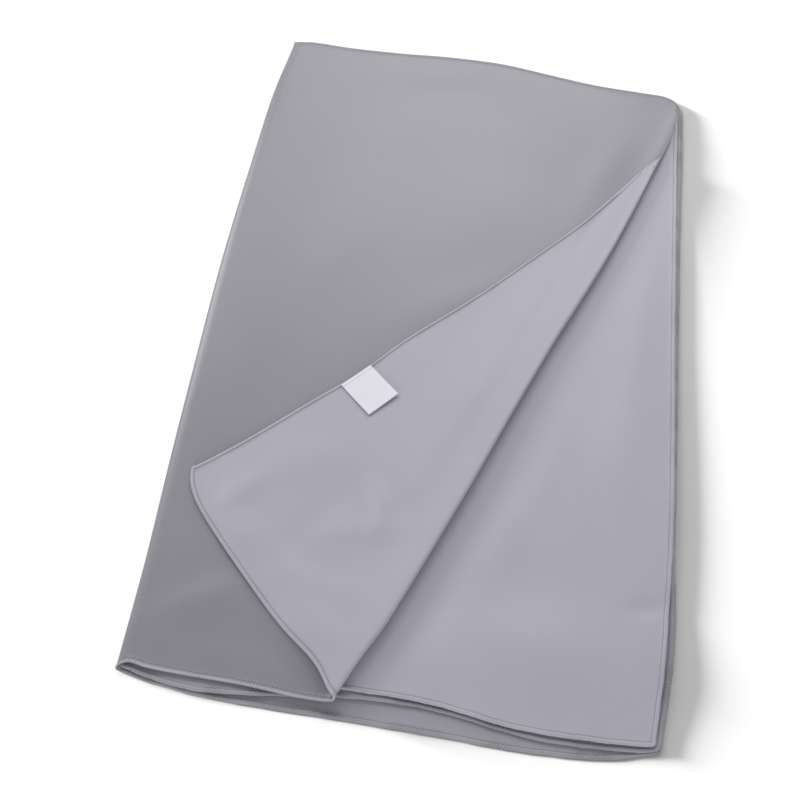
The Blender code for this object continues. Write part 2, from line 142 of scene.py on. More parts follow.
@dataclass(frozen=True)
class Roll:
    """The roll at one place along the length: its outermost line, height, and share of the turn."""
    y: float
    x: float
    height: float
    turned: float


@dataclass(frozen=True)
class Turn:
    """A point of the roll's section, out from its outermost line and up, as shares of its height."""
    out: float
    up: float


@dataclass(frozen=True)
class Hem:
    """A point that a turned-back hem passes, seen from above."""
    x: float
    y: float


@dataclass(frozen=True)
class HemStep:
    """A point of the rolled hem's section: its inset as a share of the hem's width, and its thickness."""
    inset: float
    thickness: float


@dataclass(frozen=True)
class Swell:
    """A soft rise or hollow: middle, half length, half width, direction from +X in degrees, height, bow."""
    x: float
    y: float
    length: float
    width: float
    direction: float
    height: float
    bow: float = 0.0


# The layers' edges, from the bottom of the packet to its top
SIDES = (
    Side(-0.440, -0.270, 0.268, 0.266, 0.260),
    Side(-0.330, -0.271, 0.279, 0.276, 0.268),
    Side(-0.215, -0.275, 0.277, 0.275, 0.272),
    Side(-0.100, -0.278, 0.276, 0.273, 0.271),
    Side(0.055, -0.281, 0.274, 0.271, 0.268),
    Side(0.230, -0.279, 0.272, 0.269, 0.265),
    Side(0.345, -0.276, 0.272, 0.268, 0.263),
    Side(0.435, -0.268, 0.270, 0.266, 0.262),
)

# The layers' edges, from the left of the packet to its right
ENDS = (
    End(-0.270, 0.434, -0.445, -0.441, -0.421, -0.439),
    End(-0.257, 0.436, -0.448, -0.444, -0.424, -0.4375),
    End(-0.240, 0.439, -0.451, -0.448, -0.427, -0.440),
    End(-0.190, 0.440, -0.456, -0.453, -0.430, -0.441),
    End(-0.120, 0.446, -0.457, -0.446, -0.429, -0.440),
    End(-0.055, 0.454, -0.456, -0.436, -0.428, -0.443),
    End(0.015, 0.458, -0.456, -0.432, -0.427, -0.443),
    End(0.060, 0.455, -0.456, -0.434, -0.430, -0.443),
    End(0.105, 0.451, -0.457, -0.440, -0.436, -0.443),
    End(0.150, 0.448, -0.456, -0.444, -0.438, -0.443),
    End(0.210, 0.449, -0.451, -0.442, -0.436, -0.443),
    End(0.250, 0.450, -0.441, -0.438, -0.433, -0.443),
    End(0.270, 0.449, -0.434, -0.433, -0.430, -0.443),
)

# The roll along the diagonal flattens towards the upper corner, where it no longer turns right over
ROLLS = (
    Roll(-0.443, -0.057, 0.0145, 1.00),
    Roll(-0.400, -0.038, 0.0165, 1.00),
    Roll(-0.355, -0.016, 0.0180, 1.00),
    Roll(-0.197, 0.046, 0.0185, 1.00),
    Roll(-0.096, 0.083, 0.0180, 1.00),
    Roll(0.012, 0.124, 0.0170, 1.00),
    Roll(0.070, 0.148, 0.0162, 1.00),
    Roll(0.148, 0.179, 0.0150, 1.00),
    Roll(0.200, 0.1975, 0.0141, 1.00),
    Roll(0.252, 0.215, 0.0132, 1.00),
    Roll(0.300, 0.2305, 0.0124, 1.00),
    Roll(0.328, 0.2405, 0.0118, 0.75),
    Roll(0.367, 0.255, 0.0105, 0.63),
    Roll(0.400, 0.262, 0.0080, 0.53),
    Roll(0.440, 0.2635, 0.0040, 0.42),
)

# The roll's section rises slowly off the flat cloth, turns over in a full round and ends just behind its crest
SECTION = (
    Turn(-2.40, 0.000),
    Turn(-1.60, 0.015),
    Turn(-0.95, 0.075),
    Turn(-0.45, 0.190),
    Turn(-0.14, 0.340),
    Turn(0.00, 0.540),
    Turn(0.00, 0.880),
    Turn(-0.02, 0.970),
    Turn(-0.08, 0.990),
    Turn(-0.24, 0.970),
    Turn(-0.58, 0.905),
)
# The step of that section that reaches out farthest
OUTERMOST = 5

# The turned-back corner's two hems, which meet in its blunt tip
LONG_HEM = (
    Hem(-0.249, -0.222),
    Hem(-0.235, -0.212),
    Hem(-0.193, -0.173),
    Hem(-0.137, -0.116),
    Hem(-0.092, -0.071),
    Hem(-0.045, -0.014),
    Hem(0.032, 0.066),
    Hem(0.099, 0.144),
    Hem(0.145, 0.199),
    Hem(0.181, 0.250),
    Hem(0.205, 0.283),
    Hem(0.223, 0.306),
)

SHORT_HEM = (
    Hem(-0.082, -0.409),
    Hem(-0.122, -0.377),
    Hem(-0.165, -0.336),
    Hem(-0.210, -0.290),
    Hem(-0.234, -0.262),
    Hem(-0.246, -0.240),
    Hem(-0.249, -0.222),
)

# The rolled hem: a round bead at the edge, then the dip that its stitches draw
HEM_SECTION = (
    HemStep(0.00, 0.0004),
    HemStep(0.05, 0.0013),
    HemStep(0.14, 0.0019),
    HemStep(0.28, 0.0022),
    HemStep(0.46, 0.0022),
    HemStep(0.62, 0.0020),
    HemStep(0.74, 0.0014),
    HemStep(0.82, 0.0009),
    HemStep(0.91, 0.0011),
    HemStep(1.00, 0.0008),
)
# The step of that section that the stitches run along
STITCH_STEP = 7

# The swells that the solids have too
TOP_SWELLS = (
    Swell(-0.150, 0.300, 0.130, 0.050, 25.0, 0.0018),
    Swell(0.060, 0.330, 0.120, 0.045, -20.0, 0.0020),
    Swell(-0.190, 0.060, 0.150, 0.045, 80.0, 0.0014),
    Swell(0.020, 0.180, 0.110, 0.050, 40.0, 0.0012),
    Swell(-0.220, -0.340, 0.070, 0.035, -50.0, 0.0016),
)

SECOND_SWELLS = (
    Swell(0.160, -0.330, 0.090, 0.045, 20.0, 0.0022),
    Swell(0.200, -0.120, 0.110, 0.040, 75.0, 0.0018),
    Swell(0.090, -0.250, 0.080, 0.030, 60.0, 0.0016),
    Swell(0.225, 0.120, 0.100, 0.025, 85.0, 0.0012),
)

FLAP_SWELLS = (
    Swell(-0.020, -0.160, 0.150, 0.035, 60.0, 0.0036),
    Swell(-0.130, -0.190, 0.060, 0.030, 20.0, 0.0022),
    Swell(-0.150, -0.300, 0.050, 0.020, -40.0, 0.0026),
    Swell(-0.200, -0.235, 0.030, 0.016, -60.0, 0.0014),
    Swell(0.060, 0.030, 0.110, 0.025, 62.0, 0.0020),
)


def eased(rows: Sequence, column: str, stations: np.ndarray | float) -> np.ndarray:
    """A named column's values at stations, eased between the table's rows by a cubic.

    Args:
        rows: The table; each row's first field is its station.
        column: The name of the field to read.
        stations: Where to read it.

    Returns:
        The values, in the shape of stations.
    """
    first = next(iter(rows[0].__dataclass_fields__))
    keys = np.array([getattr(row, first) for row in rows])
    values = np.array([getattr(row, column) for row in rows])
    slopes = np.gradient(values, keys)
    slopes[1:-1] = (values[2:] - values[:-2]) / (keys[2:] - keys[:-2])
    at = np.clip(np.asarray(stations, float), keys[0], keys[-1])
    low = np.clip(np.searchsorted(keys, at, side="left") - 1, 0, len(keys) - 2)
    span = keys[low + 1] - keys[low]
    t = (at - keys[low]) / span
    rise = 3 * t ** 2 - 2 * t ** 3
    return ((1 - rise) * values[low] + rise * values[low + 1]
            + span * (t ** 3 - 2 * t ** 2 + t) * slopes[low]
            + span * (t ** 3 - t ** 2) * slopes[low + 1])


def smooth_step(low: float, high: float, value: np.ndarray | float) -> np.ndarray:
    """Rises from 0 at low to 1 at high, level at both."""
    t = np.clip((np.asarray(value, float) - low) / (high - low), 0.0, 1.0)
    return t * t * (3 - 2 * t)


def smooth_path(points: np.ndarray, steps: int) -> np.ndarray:
    """Points along a Catmull-Rom curve.

    Args:
        points: The points that it passes, one a row.
        steps: Steps between two of them.

    Returns:
        The curve's points, one a row.
    """
    last = len(points) - 1
    path = [points[0]]
    for i in range(last):
        before, after = points[max(i - 1, 0)], points[min(i + 2, last)]
        start, end = points[i], points[i + 1]
        for t in np.arange(1, steps + 1) / steps:
            path.append(0.5 * (2 * start + (end - before) * t
                               + (2 * before - 5 * start + 4 * end - after) * t ** 2
                               + (3 * start - before - 3 * end + after) * t ** 3))
    return np.array(path)


def lengths_of(path: np.ndarray) -> np.ndarray:
    """Distance along a path to each of its points."""
    return np.concatenate([[0.0], np.cumsum(np.linalg.norm(np.diff(path, axis=0), axis=1))])


def along(path: np.ndarray, distances: np.ndarray | float) -> np.ndarray:
    """Points that lie given distances along a path."""
    lengths = lengths_of(path)
    return np.stack([np.interp(distances, lengths, path[:, axis]) for axis in range(3)], axis=-1)


@dataclass(frozen=True)
class Relief:
    """The soft rises and hollows of one layer of cloth."""
    swells: tuple[Swell, ...]

    def height(self, x: np.ndarray, y: np.ndarray) -> np.ndarray:
        """Height that they give the cloth.

        Args:
            x: Places across the packet.
            y: Places along the packet.

        Returns:
            The heights, in the shape of x.
        """
        total = np.zeros(np.broadcast(x, y).shape)
        for swell in self.swells:
            turn = math.radians(swell.direction)
            dx, dy = x - swell.x, y - swell.y
            run = (dx * math.cos(turn) + dy * math.sin(turn)) / swell.length
            side = (dy * math.cos(turn) - dx * math.sin(turn) - swell.bow * run ** 2) / swell.width
            total += swell.height * np.exp(-run ** 2 - side ** 2)
        return total


# Creases and dents that only show in the satin's shine, on top of the solids' own swells
TOP_CREASES = (
    Swell(-0.245, 0.326, 0.045, 0.018, 5.0, 0.0011),
    Swell(0.190, 0.424, 0.050, 0.014, -8.0, 0.0010),
    Swell(-0.060, 0.380, 0.110, 0.022, 12.0, 0.0008, 0.010),
    Swell(-0.212, -0.370, 0.050, 0.020, 32.0, 0.0030),
    Swell(-0.175, -0.415, 0.060, 0.013, -6.0, 0.0014),
    Swell(-0.090, -0.374, 0.055, 0.026, -43.0, 0.0065),
    Swell(-0.108, -0.404, 0.045, 0.016, -30.0, -0.0010),
    Swell(0.168, 0.292, 0.080, 0.022, 69.0, 0.0014),
    Swell(0.264, 0.372, 0.050, 0.020, 75.0, 0.0018),
    Swell(-0.120, 0.130, 0.090, 0.030, 60.0, 0.0012),
    Swell(0.010, 0.060, 0.080, 0.024, 35.0, 0.0008),
)

SECOND_CREASES = (
    Swell(0.247, -0.292, 0.020, 0.010, 15.0, -0.0022),
    Swell(0.155, -0.362, 0.160, 0.046, 2.0, 0.0062),
    Swell(0.235, -0.200, 0.140, 0.060, 88.0, 0.0026),
    Swell(0.120, -0.180, 0.100, 0.018, 66.0, 0.0012, 0.012),
    Swell(0.215, -0.020, 0.120, 0.020, 84.0, 0.0012, -0.010),
    Swell(0.080, -0.390, 0.060, 0.012, -20.0, 0.0012),
)

FLAP_CREASES = (
    Swell(0.048, -0.060, 0.170, 0.017, 68.0, 0.0036),
    Swell(0.079, -0.068, 0.170, 0.015, 68.0, -0.0030),
    Swell(0.129, 0.106, 0.120, 0.012, 66.0, -0.0016, 0.004),
    Swell(-0.041, -0.232, 0.026, 0.011, 100.0, 0.0036, 0.004),
    Swell(-0.025, -0.258, 0.060, 0.016, 8.0, 0.0034),
    Swell(-0.075, -0.332, 0.050, 0.018, -10.0, 0.0026),
    Swell(-0.186, -0.288, 0.035, 0.014, 120.0, 0.0030),
    Swell(-0.190, -0.238, 0.030, 0.013, 50.0, 0.0024),
    Swell(-0.110, -0.262, 0.060, 0.014, 55.0, -0.0012),
)

# The third layer's hem bulges up under the top layer's, where the second layer ends short
THIRD_SWELLS = (
    Swell(-0.170, -0.448, 0.085, 0.014, -2.0, 0.0014),
    Swell(-0.080, -0.436, 0.070, 0.012, 8.0, 0.0010),
)

TOP = Relief(TOP_SWELLS + TOP_CREASES)
SECOND = Relief(SECOND_SWELLS + SECOND_CREASES)
FLAP = Relief(FLAP_SWELLS + FLAP_CREASES)


def top_level(x: np.ndarray, y: np.ndarray) -> np.ndarray:
    """Height of the top layer's middle surface where it lies flat."""
    return CLOTH.top_level + TOP.height(x, y)


def hem_insets(room: float = 1.0) -> np.ndarray:
    """Distances in from a hem's edge of the points of its section, within the room that there is."""
    fit = min(1.0, room / (2 * CLOTH.hem_width))
    return np.array([step.inset for step in HEM_SECTION]) * CLOTH.hem_width * fit


HEM_THICKNESS = np.array([step.thickness for step in HEM_SECTION])


def hem_thickness(shape: tuple[int, int], plain: np.ndarray | float = 0.0) -> np.ndarray:
    """Thickness of a layer with a rolled hem along its right and bottom edges.

    Args:
        shape: The rows and columns of the layer's grid.
        plain: For each row, how far the right edge has run out of its hem, from 0 to 1.

    Returns:
        The thickness at each point of the grid.
    """
    hems = len(HEM_THICKNESS)
    thickness = np.full(shape, CLOTH.wall)
    thickness[:, -hems:] = HEM_THICKNESS[::-1] * (1 - plain) + CLOTH.wall * plain
    thickness[:hems] = np.maximum(thickness[:hems], HEM_THICKNESS[:, None])
    thickness[0] = HEM_THICKNESS[0]
    thickness[:, -1] = HEM_THICKNESS[0]
    return thickness


# Lengths of the waves that a sewn edge keeps, which don't fall in step
EDGE_WAVES = (0.047, 0.029, 0.0113)


def ripple(distance: np.ndarray, phase: float) -> np.ndarray:
    """Uneven waviness of a sewn edge.

    Args:
        distance: Distances along the edge.
        phase: Where its waves start.

    Returns:
        The waviness there, from -1 to 1.
    """
    waves = [np.sin(2 * math.pi * distance / wave + phase * (i + 1)) for i, wave in enumerate(EDGE_WAVES)]
    return sum(waves) / len(waves)


def round_corner(x: np.ndarray, y: np.ndarray, corner_x: float) -> np.ndarray:
    """Draws places in behind the rounding between a hem at corner_x and the top fold.

    Args:
        x: Places across the packet.
        y: Places along the packet.
        corner_x: Where the hem would meet the fold across.

    Returns:
        The new places along the packet.
    """
    radius = CLOTH.corner
    run = np.clip(x - corner_x + radius, 0.0, radius)
    drop = radius - np.sqrt(radius ** 2 - run ** 2)
    return y - drop * smooth_step(CLOTH.corner_y - 2 * radius, CLOTH.corner_y, y)


def hem_places(from_right: np.ndarray, from_bottom: np.ndarray) -> np.ndarray:
    """For each point, how far along the nearer hem it lies from the hems' corner, and how far in from its edge.

    Args:
        from_right: Distances in from the right hem's edge.
        from_bottom: Distances in from the bottom hem's edge.

    Returns:
        The two distances, stacked in the last axis.
    """
    return np.stack([np.maximum(from_right, from_bottom), np.minimum(from_right, from_bottom)], axis=-1)


# Colours and finishes

def linear(hex_colour: str) -> tuple[float, float, float, float]:
    """Turns a screen colour into the shader's.

    Args:
        hex_colour: An sRGB colour such as 9a9aa0.

    Returns:
        Its linear red, green, blue and alpha.
    """
    channels = [int(hex_colour[i:i + 2], 16) / 255 for i in (0, 2, 4)]
    toned = [c / 12.92 if c <= 0.04045 else ((c + 0.055) / 1.055) ** 2.4 for c in channels]
    return (*toned, 1.0)


def set_node(node: bpy.types.Node, settings: dict | None = None, links: dict | None = None) -> bpy.types.Node:
    """Sets a node up.

    Args:
        node: The node.
        settings: Values of its properties, or of its inputs by name or number.
        links: What feeds its inputs, by the input's name or number: an output socket, or a node for its first one.

    Returns:
        The node.
    """
    for name, value in (settings or {}).items():
        if isinstance(name, str) and hasattr(node, name):
            setattr(node, name, value)
        else:
            node.inputs[name].default_value = value
    for name, source in (links or {}).items():
        socket = source.outputs[0] if isinstance(source, bpy.types.Node) else source
        node.id_data.links.new(socket, node.inputs[name])
    return node


def add_node(tree: bpy.types.NodeTree, kind: str, settings: dict | None = None,
             links: dict | None = None) -> bpy.types.Node:
    """Adds a node of a Blender type to a tree, with the settings and links that set_node takes."""
    return set_node(tree.nodes.new(kind), settings, links)


def new_material(name: str) -> tuple[bpy.types.Material, bpy.types.NodeTree, bpy.types.Node]:
    """Starts a material.

    Args:
        name: What the finish is.

    Returns:
        The material, its node tree and its Principled shader.
    """
    made = bpy.data.materials.new(name)
    made.use_nodes = True
    return made, made.node_tree, made.node_tree.nodes["Principled BSDF"]


@dataclass(frozen=True)
class SatinFinish:
    """Woven polyester satin, with lengths in millimetres on the cloth.

    Its long floats lie side by side, so the light slides across them as one soft, drawn-out gleam.
    """
    name: str
    colour: str
    shade: str
    roughness: float
    roughness_spread: float
    anisotropy: float
    sheen: float
    ior: float = 1.5
    sheen_roughness: float = 0.35
    # Floats lie about 0.1 mm apart, too fine to show, so they are drawn 0.45 mm apart, in streaks 12 of that long
    thread: float = 0.45
    float_threads: float = 12.0
    float_relief: float = 0.3
    # Yarn of uneven thickness leaves faint streaks along the cloth
    slub_width: float = 1.1
    slub_length: float = 28.0
    slub_share: float = 0.35
    # Handling leaves the shine cloudy, in patches about a hand wide
    cloud: float = 95.0
    cloud_stretch: float = 1.4
    cloud_share: float = 0.65
    relief: float = 0.012
    # The stitches pull the hem into slanting puckers, stronger in some stretches than in others, and shade is
    # painted into their troughs
    pucker_pitch: float = 3.1
    pucker_lean: float = 0.55
    pucker_depth: float = 0.28
    pucker_shade: float = 0.22
    pucker_drift: float = 4.0
    pucker_wander: float = 1.6
    pucker_fade: float = 1.7
    pucker_patch: float = 45.0
    patch_from: float = 0.42
    patch_full: float = 0.60
    patch_least: float = 0.15
    # Shade is painted into the seam beside the bead, and on the glossy face a highlight is painted on the bead's
    # crest
    groove_inset: float = 4.8
    groove_half: float = 1.0
    groove_shade: float = 0.34
    painted_shade_colour: str = "4c4c54"
    crest_inset: float = 1.7
    crest_half: float = 1.9
    crest_shine: float = 0.0
    crest_highlight_colour: str = "bdbbc9"

    @staticmethod
    def line(tree: bpy.types.NodeTree, inset: bpy.types.NodeSocket, middle: float, half: float,
             most: float) -> bpy.types.Node:
        """A soft line along the hem.

        Args:
            tree: The material's node tree.
            inset: How far in from the hem's edge a point lies.
            middle: The line's inset, in millimetres.
            half: Its half width, in millimetres.
            most: Its strength in the middle.

        Returns:
            The node that gives its strength.
        """
        away = add_node(tree, "ShaderNodeMath", {"operation": "SUBTRACT", 1: middle * MM}, {0: inset})
        aside = add_node(tree, "ShaderNodeMath", {"operation": "ABSOLUTE"}, {0: away})
        return add_node(tree, "ShaderNodeMapRange",
                        {"interpolation_type": "SMOOTHSTEP", 1: 0.0, 2: half * MM, 3: most, 4: 0.0}, {0: aside})

    def pucker(self, tree: bpy.types.NodeTree, given: bpy.types.NodeSocket,
               hem: bpy.types.Node) -> tuple[bpy.types.Node, bpy.types.Node]:
        """The slanting puckers that the stitches draw into the hem, stronger in some stretches, with shade painted
        into their troughs.

        Args:
            tree: The material's node tree.
            given: The place along the hem and the inset from its edge.
            hem: The same, separated.

        Returns:
            The nodes that give their height from 0 to 1, 0 away from the hem, and the shade painted into their
            troughs.
        """
        pitch = self.pucker_pitch * MM
        slant = add_node(tree, "ShaderNodeMath", {"operation": "MULTIPLY_ADD", 1: self.pucker_lean},
                         {0: hem.outputs[1], 2: hem.outputs[0]})
        uneven = add_node(tree, "ShaderNodeTexNoise", {"Scale": 1 / (self.pucker_drift * pitch), "Detail": 1.0},
                          {"Vector": given})
        wander = add_node(tree, "ShaderNodeMath", {"operation": "MULTIPLY_ADD", 1: self.pucker_wander * pitch},
                          {0: uneven, 2: slant})
        turns = add_node(tree, "ShaderNodeMath", {"operation": "MULTIPLY", 1: 2 * math.pi / pitch}, {0: wander})
        wave = add_node(tree, "ShaderNodeMath", {"operation": "SINE"}, {0: turns})
        crests = add_node(tree, "ShaderNodeMapRange", {1: -1.0, 2: 1.0}, {0: wave})
        near = add_node(tree, "ShaderNodeMapRange",
                        {"interpolation_type": "SMOOTHSTEP", 1: CLOTH.hem_width,
                         2: self.pucker_fade * CLOTH.hem_width, 3: 1.0, 4: 0.0}, {0: hem.outputs[1]})
        stretches = add_node(tree, "ShaderNodeTexNoise", {"Scale": 1 / (self.pucker_patch * MM), "Detail": 0.0},
                             {"Vector": given})
        strength = add_node(tree, "ShaderNodeMapRange",
                            {"interpolation_type": "SMOOTHSTEP", 1: self.patch_from, 2: self.patch_full,
                             3: self.patch_least, 4: 1.0}, {0: stretches})
        there = add_node(tree, "ShaderNodeMath", {"operation": "MULTIPLY"}, {0: strength, 1: near})
        height = add_node(tree, "ShaderNodeMath", {"operation": "MULTIPLY"}, {0: crests, 1: there})
        # Painted shade: the troughs between the puckers are darkened in colour
        troughs = add_node(tree, "ShaderNodeMath", {"operation": "SUBTRACT"}, {0: there, 1: height})
        shade = add_node(tree, "ShaderNodeMath", {"operation": "MULTIPLY", 1: self.pucker_shade}, {0: troughs})
        return height, shade

    def material(self) -> bpy.types.Material:
        """Makes the finish: floats along the cloth's length, slubs, a cloudy shine and puckered hems, with shade
        painted into the hems' troughs and seam and a highlight painted on their crest.

        Returns:
            The material.
        """
        made, tree, shader = new_material(self.name)
        cut = add_node(tree, "ShaderNodeUVMap", {"uv_map": CLOTH_UV}).outputs["UV"]

        def stretched(width: float, length: float) -> bpy.types.Node:
            """The cut's coordinates counted in cells of a width and a length in millimetres."""
            cells = (1 / (width * MM), 1 / (length * MM), 1.0)
            return add_node(tree, "ShaderNodeMapping", {"Scale": cells}, {"Vector": cut})

        slubs = add_node(tree, "ShaderNodeTexNoise", {"Scale": 1.0, "Detail": 2.0, "Roughness": 0.55},
                         {"Vector": stretched(self.slub_width, self.slub_length)})
        clouds = add_node(tree, "ShaderNodeTexNoise", {"Scale": 1.0, "Detail": 2.0, "Roughness": 0.45},
                          {"Vector": stretched(self.cloud, self.cloud_stretch * self.cloud)})
        floats = add_node(tree, "ShaderNodeTexWave",
                          {"wave_type": "BANDS", "bands_direction": "X", "Scale": 1.0, "Distortion": 0.4,
                           "Detail": 1.0},
                          {"Vector": stretched(self.thread * 2 * math.pi, self.thread * self.float_threads)})
        blend = add_node(tree, "ShaderNodeMath", {"operation": "MULTIPLY", 1: self.slub_share}, {0: slubs})
        weight = add_node(tree, "ShaderNodeMath", {"operation": "MULTIPLY_ADD", 1: self.cloud_share},
                          {0: clouds, 2: blend})
        tone = add_node(tree, "ShaderNodeMix", {"data_type": "RGBA", 6: linear(self.shade), 7: linear(self.colour)},
                        {0: weight})
        gloss = add_node(tree, "ShaderNodeMapRange",
                         {3: self.roughness - self.roughness_spread, 4: self.roughness + self.roughness_spread},
                         {0: clouds})
        height = add_node(tree, "ShaderNodeMath", {"operation": "MULTIPLY_ADD", 1: self.float_relief},
                          {0: floats.outputs[1], 2: slubs})
        weave = add_node(tree, "ShaderNodeBump", {"Strength": 1.0, "Distance": self.relief * MM},
                         {"Height": height})
        given = add_node(tree, "ShaderNodeUVMap", {"uv_map": HEM_UV}).outputs["UV"]
        hem = add_node(tree, "ShaderNodeSeparateXYZ", {}, {0: given})
        pucker, shade = self.pucker(tree, given, hem)
        bump = add_node(tree, "ShaderNodeBump", {"Strength": 1.0, "Distance": self.pucker_depth * MM},
                        {"Height": pucker, "Normal": weave})
        # Painted highlight: the bead's crest is lightened towards the crest highlight colour
        crest = self.line(tree, hem.outputs[1], self.crest_inset, self.crest_half, self.crest_shine)
        painted_crest_highlight = add_node(tree, "ShaderNodeMix", {"data_type": "RGBA", 7: linear(self.crest_highlight_colour)},
                        {0: crest, 6: tone.outputs[2]})
        # Painted shade: the seam and the puckers' troughs are darkened towards the painted shade colour
        groove = self.line(tree, hem.outputs[1], self.groove_inset, self.groove_half, self.groove_shade)
        painted_hem_shade = add_node(tree, "ShaderNodeMath", {"operation": "ADD"}, {0: shade, 1: groove})
        sewn = add_node(tree, "ShaderNodeMix", {"data_type": "RGBA", 7: linear(self.painted_shade_colour)},
                        {0: painted_hem_shade, 6: painted_crest_highlight.outputs[2]})
        tangent = add_node(tree, "ShaderNodeTangent", {"direction_type": "UV_MAP", "uv_map": CLOTH_UV})
        set_node(shader,
                 {"IOR": self.ior, "Anisotropic": self.anisotropy, "Sheen Weight": self.sheen,
                  "Sheen Roughness": self.sheen_roughness},
                 {"Base Color": sewn.outputs[2], "Roughness": gloss, "Normal": bump, "Tangent": tangent})
        return made


@dataclass(frozen=True)
class ThreadFinish:
    """Spun polyester sewing thread, with lengths in millimetres.

    Its short fibres leave it matt, and its twist makes it lighter and darker by turns.
    """
    name: str
    colour: str
    shade: str
    roughness: float = 0.6
    ior: float = 1.5
    # Two plies with about 1,000 turns a metre show one ply after the other every 0.5 mm
    grain: float = 0.5

    def material(self) -> bpy.types.Material:
        """Makes the finish.

        Returns:
            The material.
        """
        made, tree, shader = new_material(self.name)
        place = add_node(tree, "ShaderNodeTexCoord").outputs["Object"]
        twist = add_node(tree, "ShaderNodeTexNoise", {"Scale": 1 / (self.grain * MM), "Detail": 1.0},
                         {"Vector": place})
        tone = add_node(tree, "ShaderNodeMix", {"data_type": "RGBA", 6: linear(self.shade), 7: linear(self.colour)},
                        {0: twist})
        set_node(shader, {"Roughness": self.roughness, "IOR": self.ior}, {"Base Color": tone.outputs[2]})
        return made


@dataclass(frozen=True)
class PaperFinish:
    """Uncoated paper of the studio's sweep, which scatters light evenly and shows no gleam."""
    name: str = "matt pale paper sweep"
    colour: str = "a6a6a6"
    roughness: float = 0.9
    specular: float = 0.1

    def material(self) -> bpy.types.Material:
        """Makes the finish.

        Returns:
            The material.
        """
        made, _, shader = new_material(self.name)
        set_node(shader, {"Base Color": linear(self.colour), "Roughness": self.roughness,
                          "Specular IOR Level": self.specular})
        return made


@dataclass(frozen=True)
class Finishes:
    """Every finish of the stole, as materials."""
    face: bpy.types.Material
    wrong_side: bpy.types.Material
    second: bpy.types.Material
    folded: bpy.types.Material
    ribbon: bpy.types.Material
    thread: bpy.types.Material

    @classmethod
    def made(cls) -> "Finishes":
        """Makes the satin's two sides, the lower layers, the label's ribbon and the thread.

        Returns:
            The finishes.
        """
        return cls(
            # Woven with its floats on this side: darker, and it gleams where it turns to the light; a highlight is
            # painted on its hems' crests
            face=SatinFinish("polyester satin, glossy face", "8c8a92", "807f87", 0.36, 0.05, 0.45, 0.10,
                             crest_shine=0.75).material(),
            # Woven with its short crossings on this side: paler and softer, almost matt
            wrong_side=SatinFinish("polyester satin, soft wrong side", "adabb7", "a09eaa", 0.48, 0.05, 0.30, 0.15,
                                   pucker_depth=0.12, pucker_shade=0.10, groove_inset=4.4, groove_half=1.5,
                                   groove_shade=0.38).material(),
            # The same wrong side, a touch smoother, and painted a touch paler than the turned-back corner as painted
            # light for its flat, less lit place
            second=SatinFinish("polyester satin, second layer", "b1afbb", "a4a2ae", 0.46, 0.05, 0.30, 0.15,
                               pucker_depth=0.14, pucker_shade=0.14).material(),
            # Folded edges, painted greyer for the shade that they lie in under each other, with the deepest puckers
            # and the darkest painted shade in their troughs
            folded=SatinFinish("polyester satin, folded layers", "9d9ca5", "92919a", 0.48, 0.05, 0.35, 0.10,
                               pucker_depth=0.38, pucker_shade=0.30).material(),
            # Narrow woven ribbon cut with heat: white and smooth, its streaks short, with a faint cool gleam
            ribbon=SatinFinish("white satin ribbon, heat cut", "dedde7", "d7d6e0", 0.42, 0.04, 0.40, 0.10,
                               slub_length=10.0, relief=0.008).material(),
            # Dyed to match, and painted a little darker than the cloth for the shade of the seam that it sits in
            thread=ThreadFinish("grey polyester sewing thread", "8e8e95", "6f6f76").material(),
        )


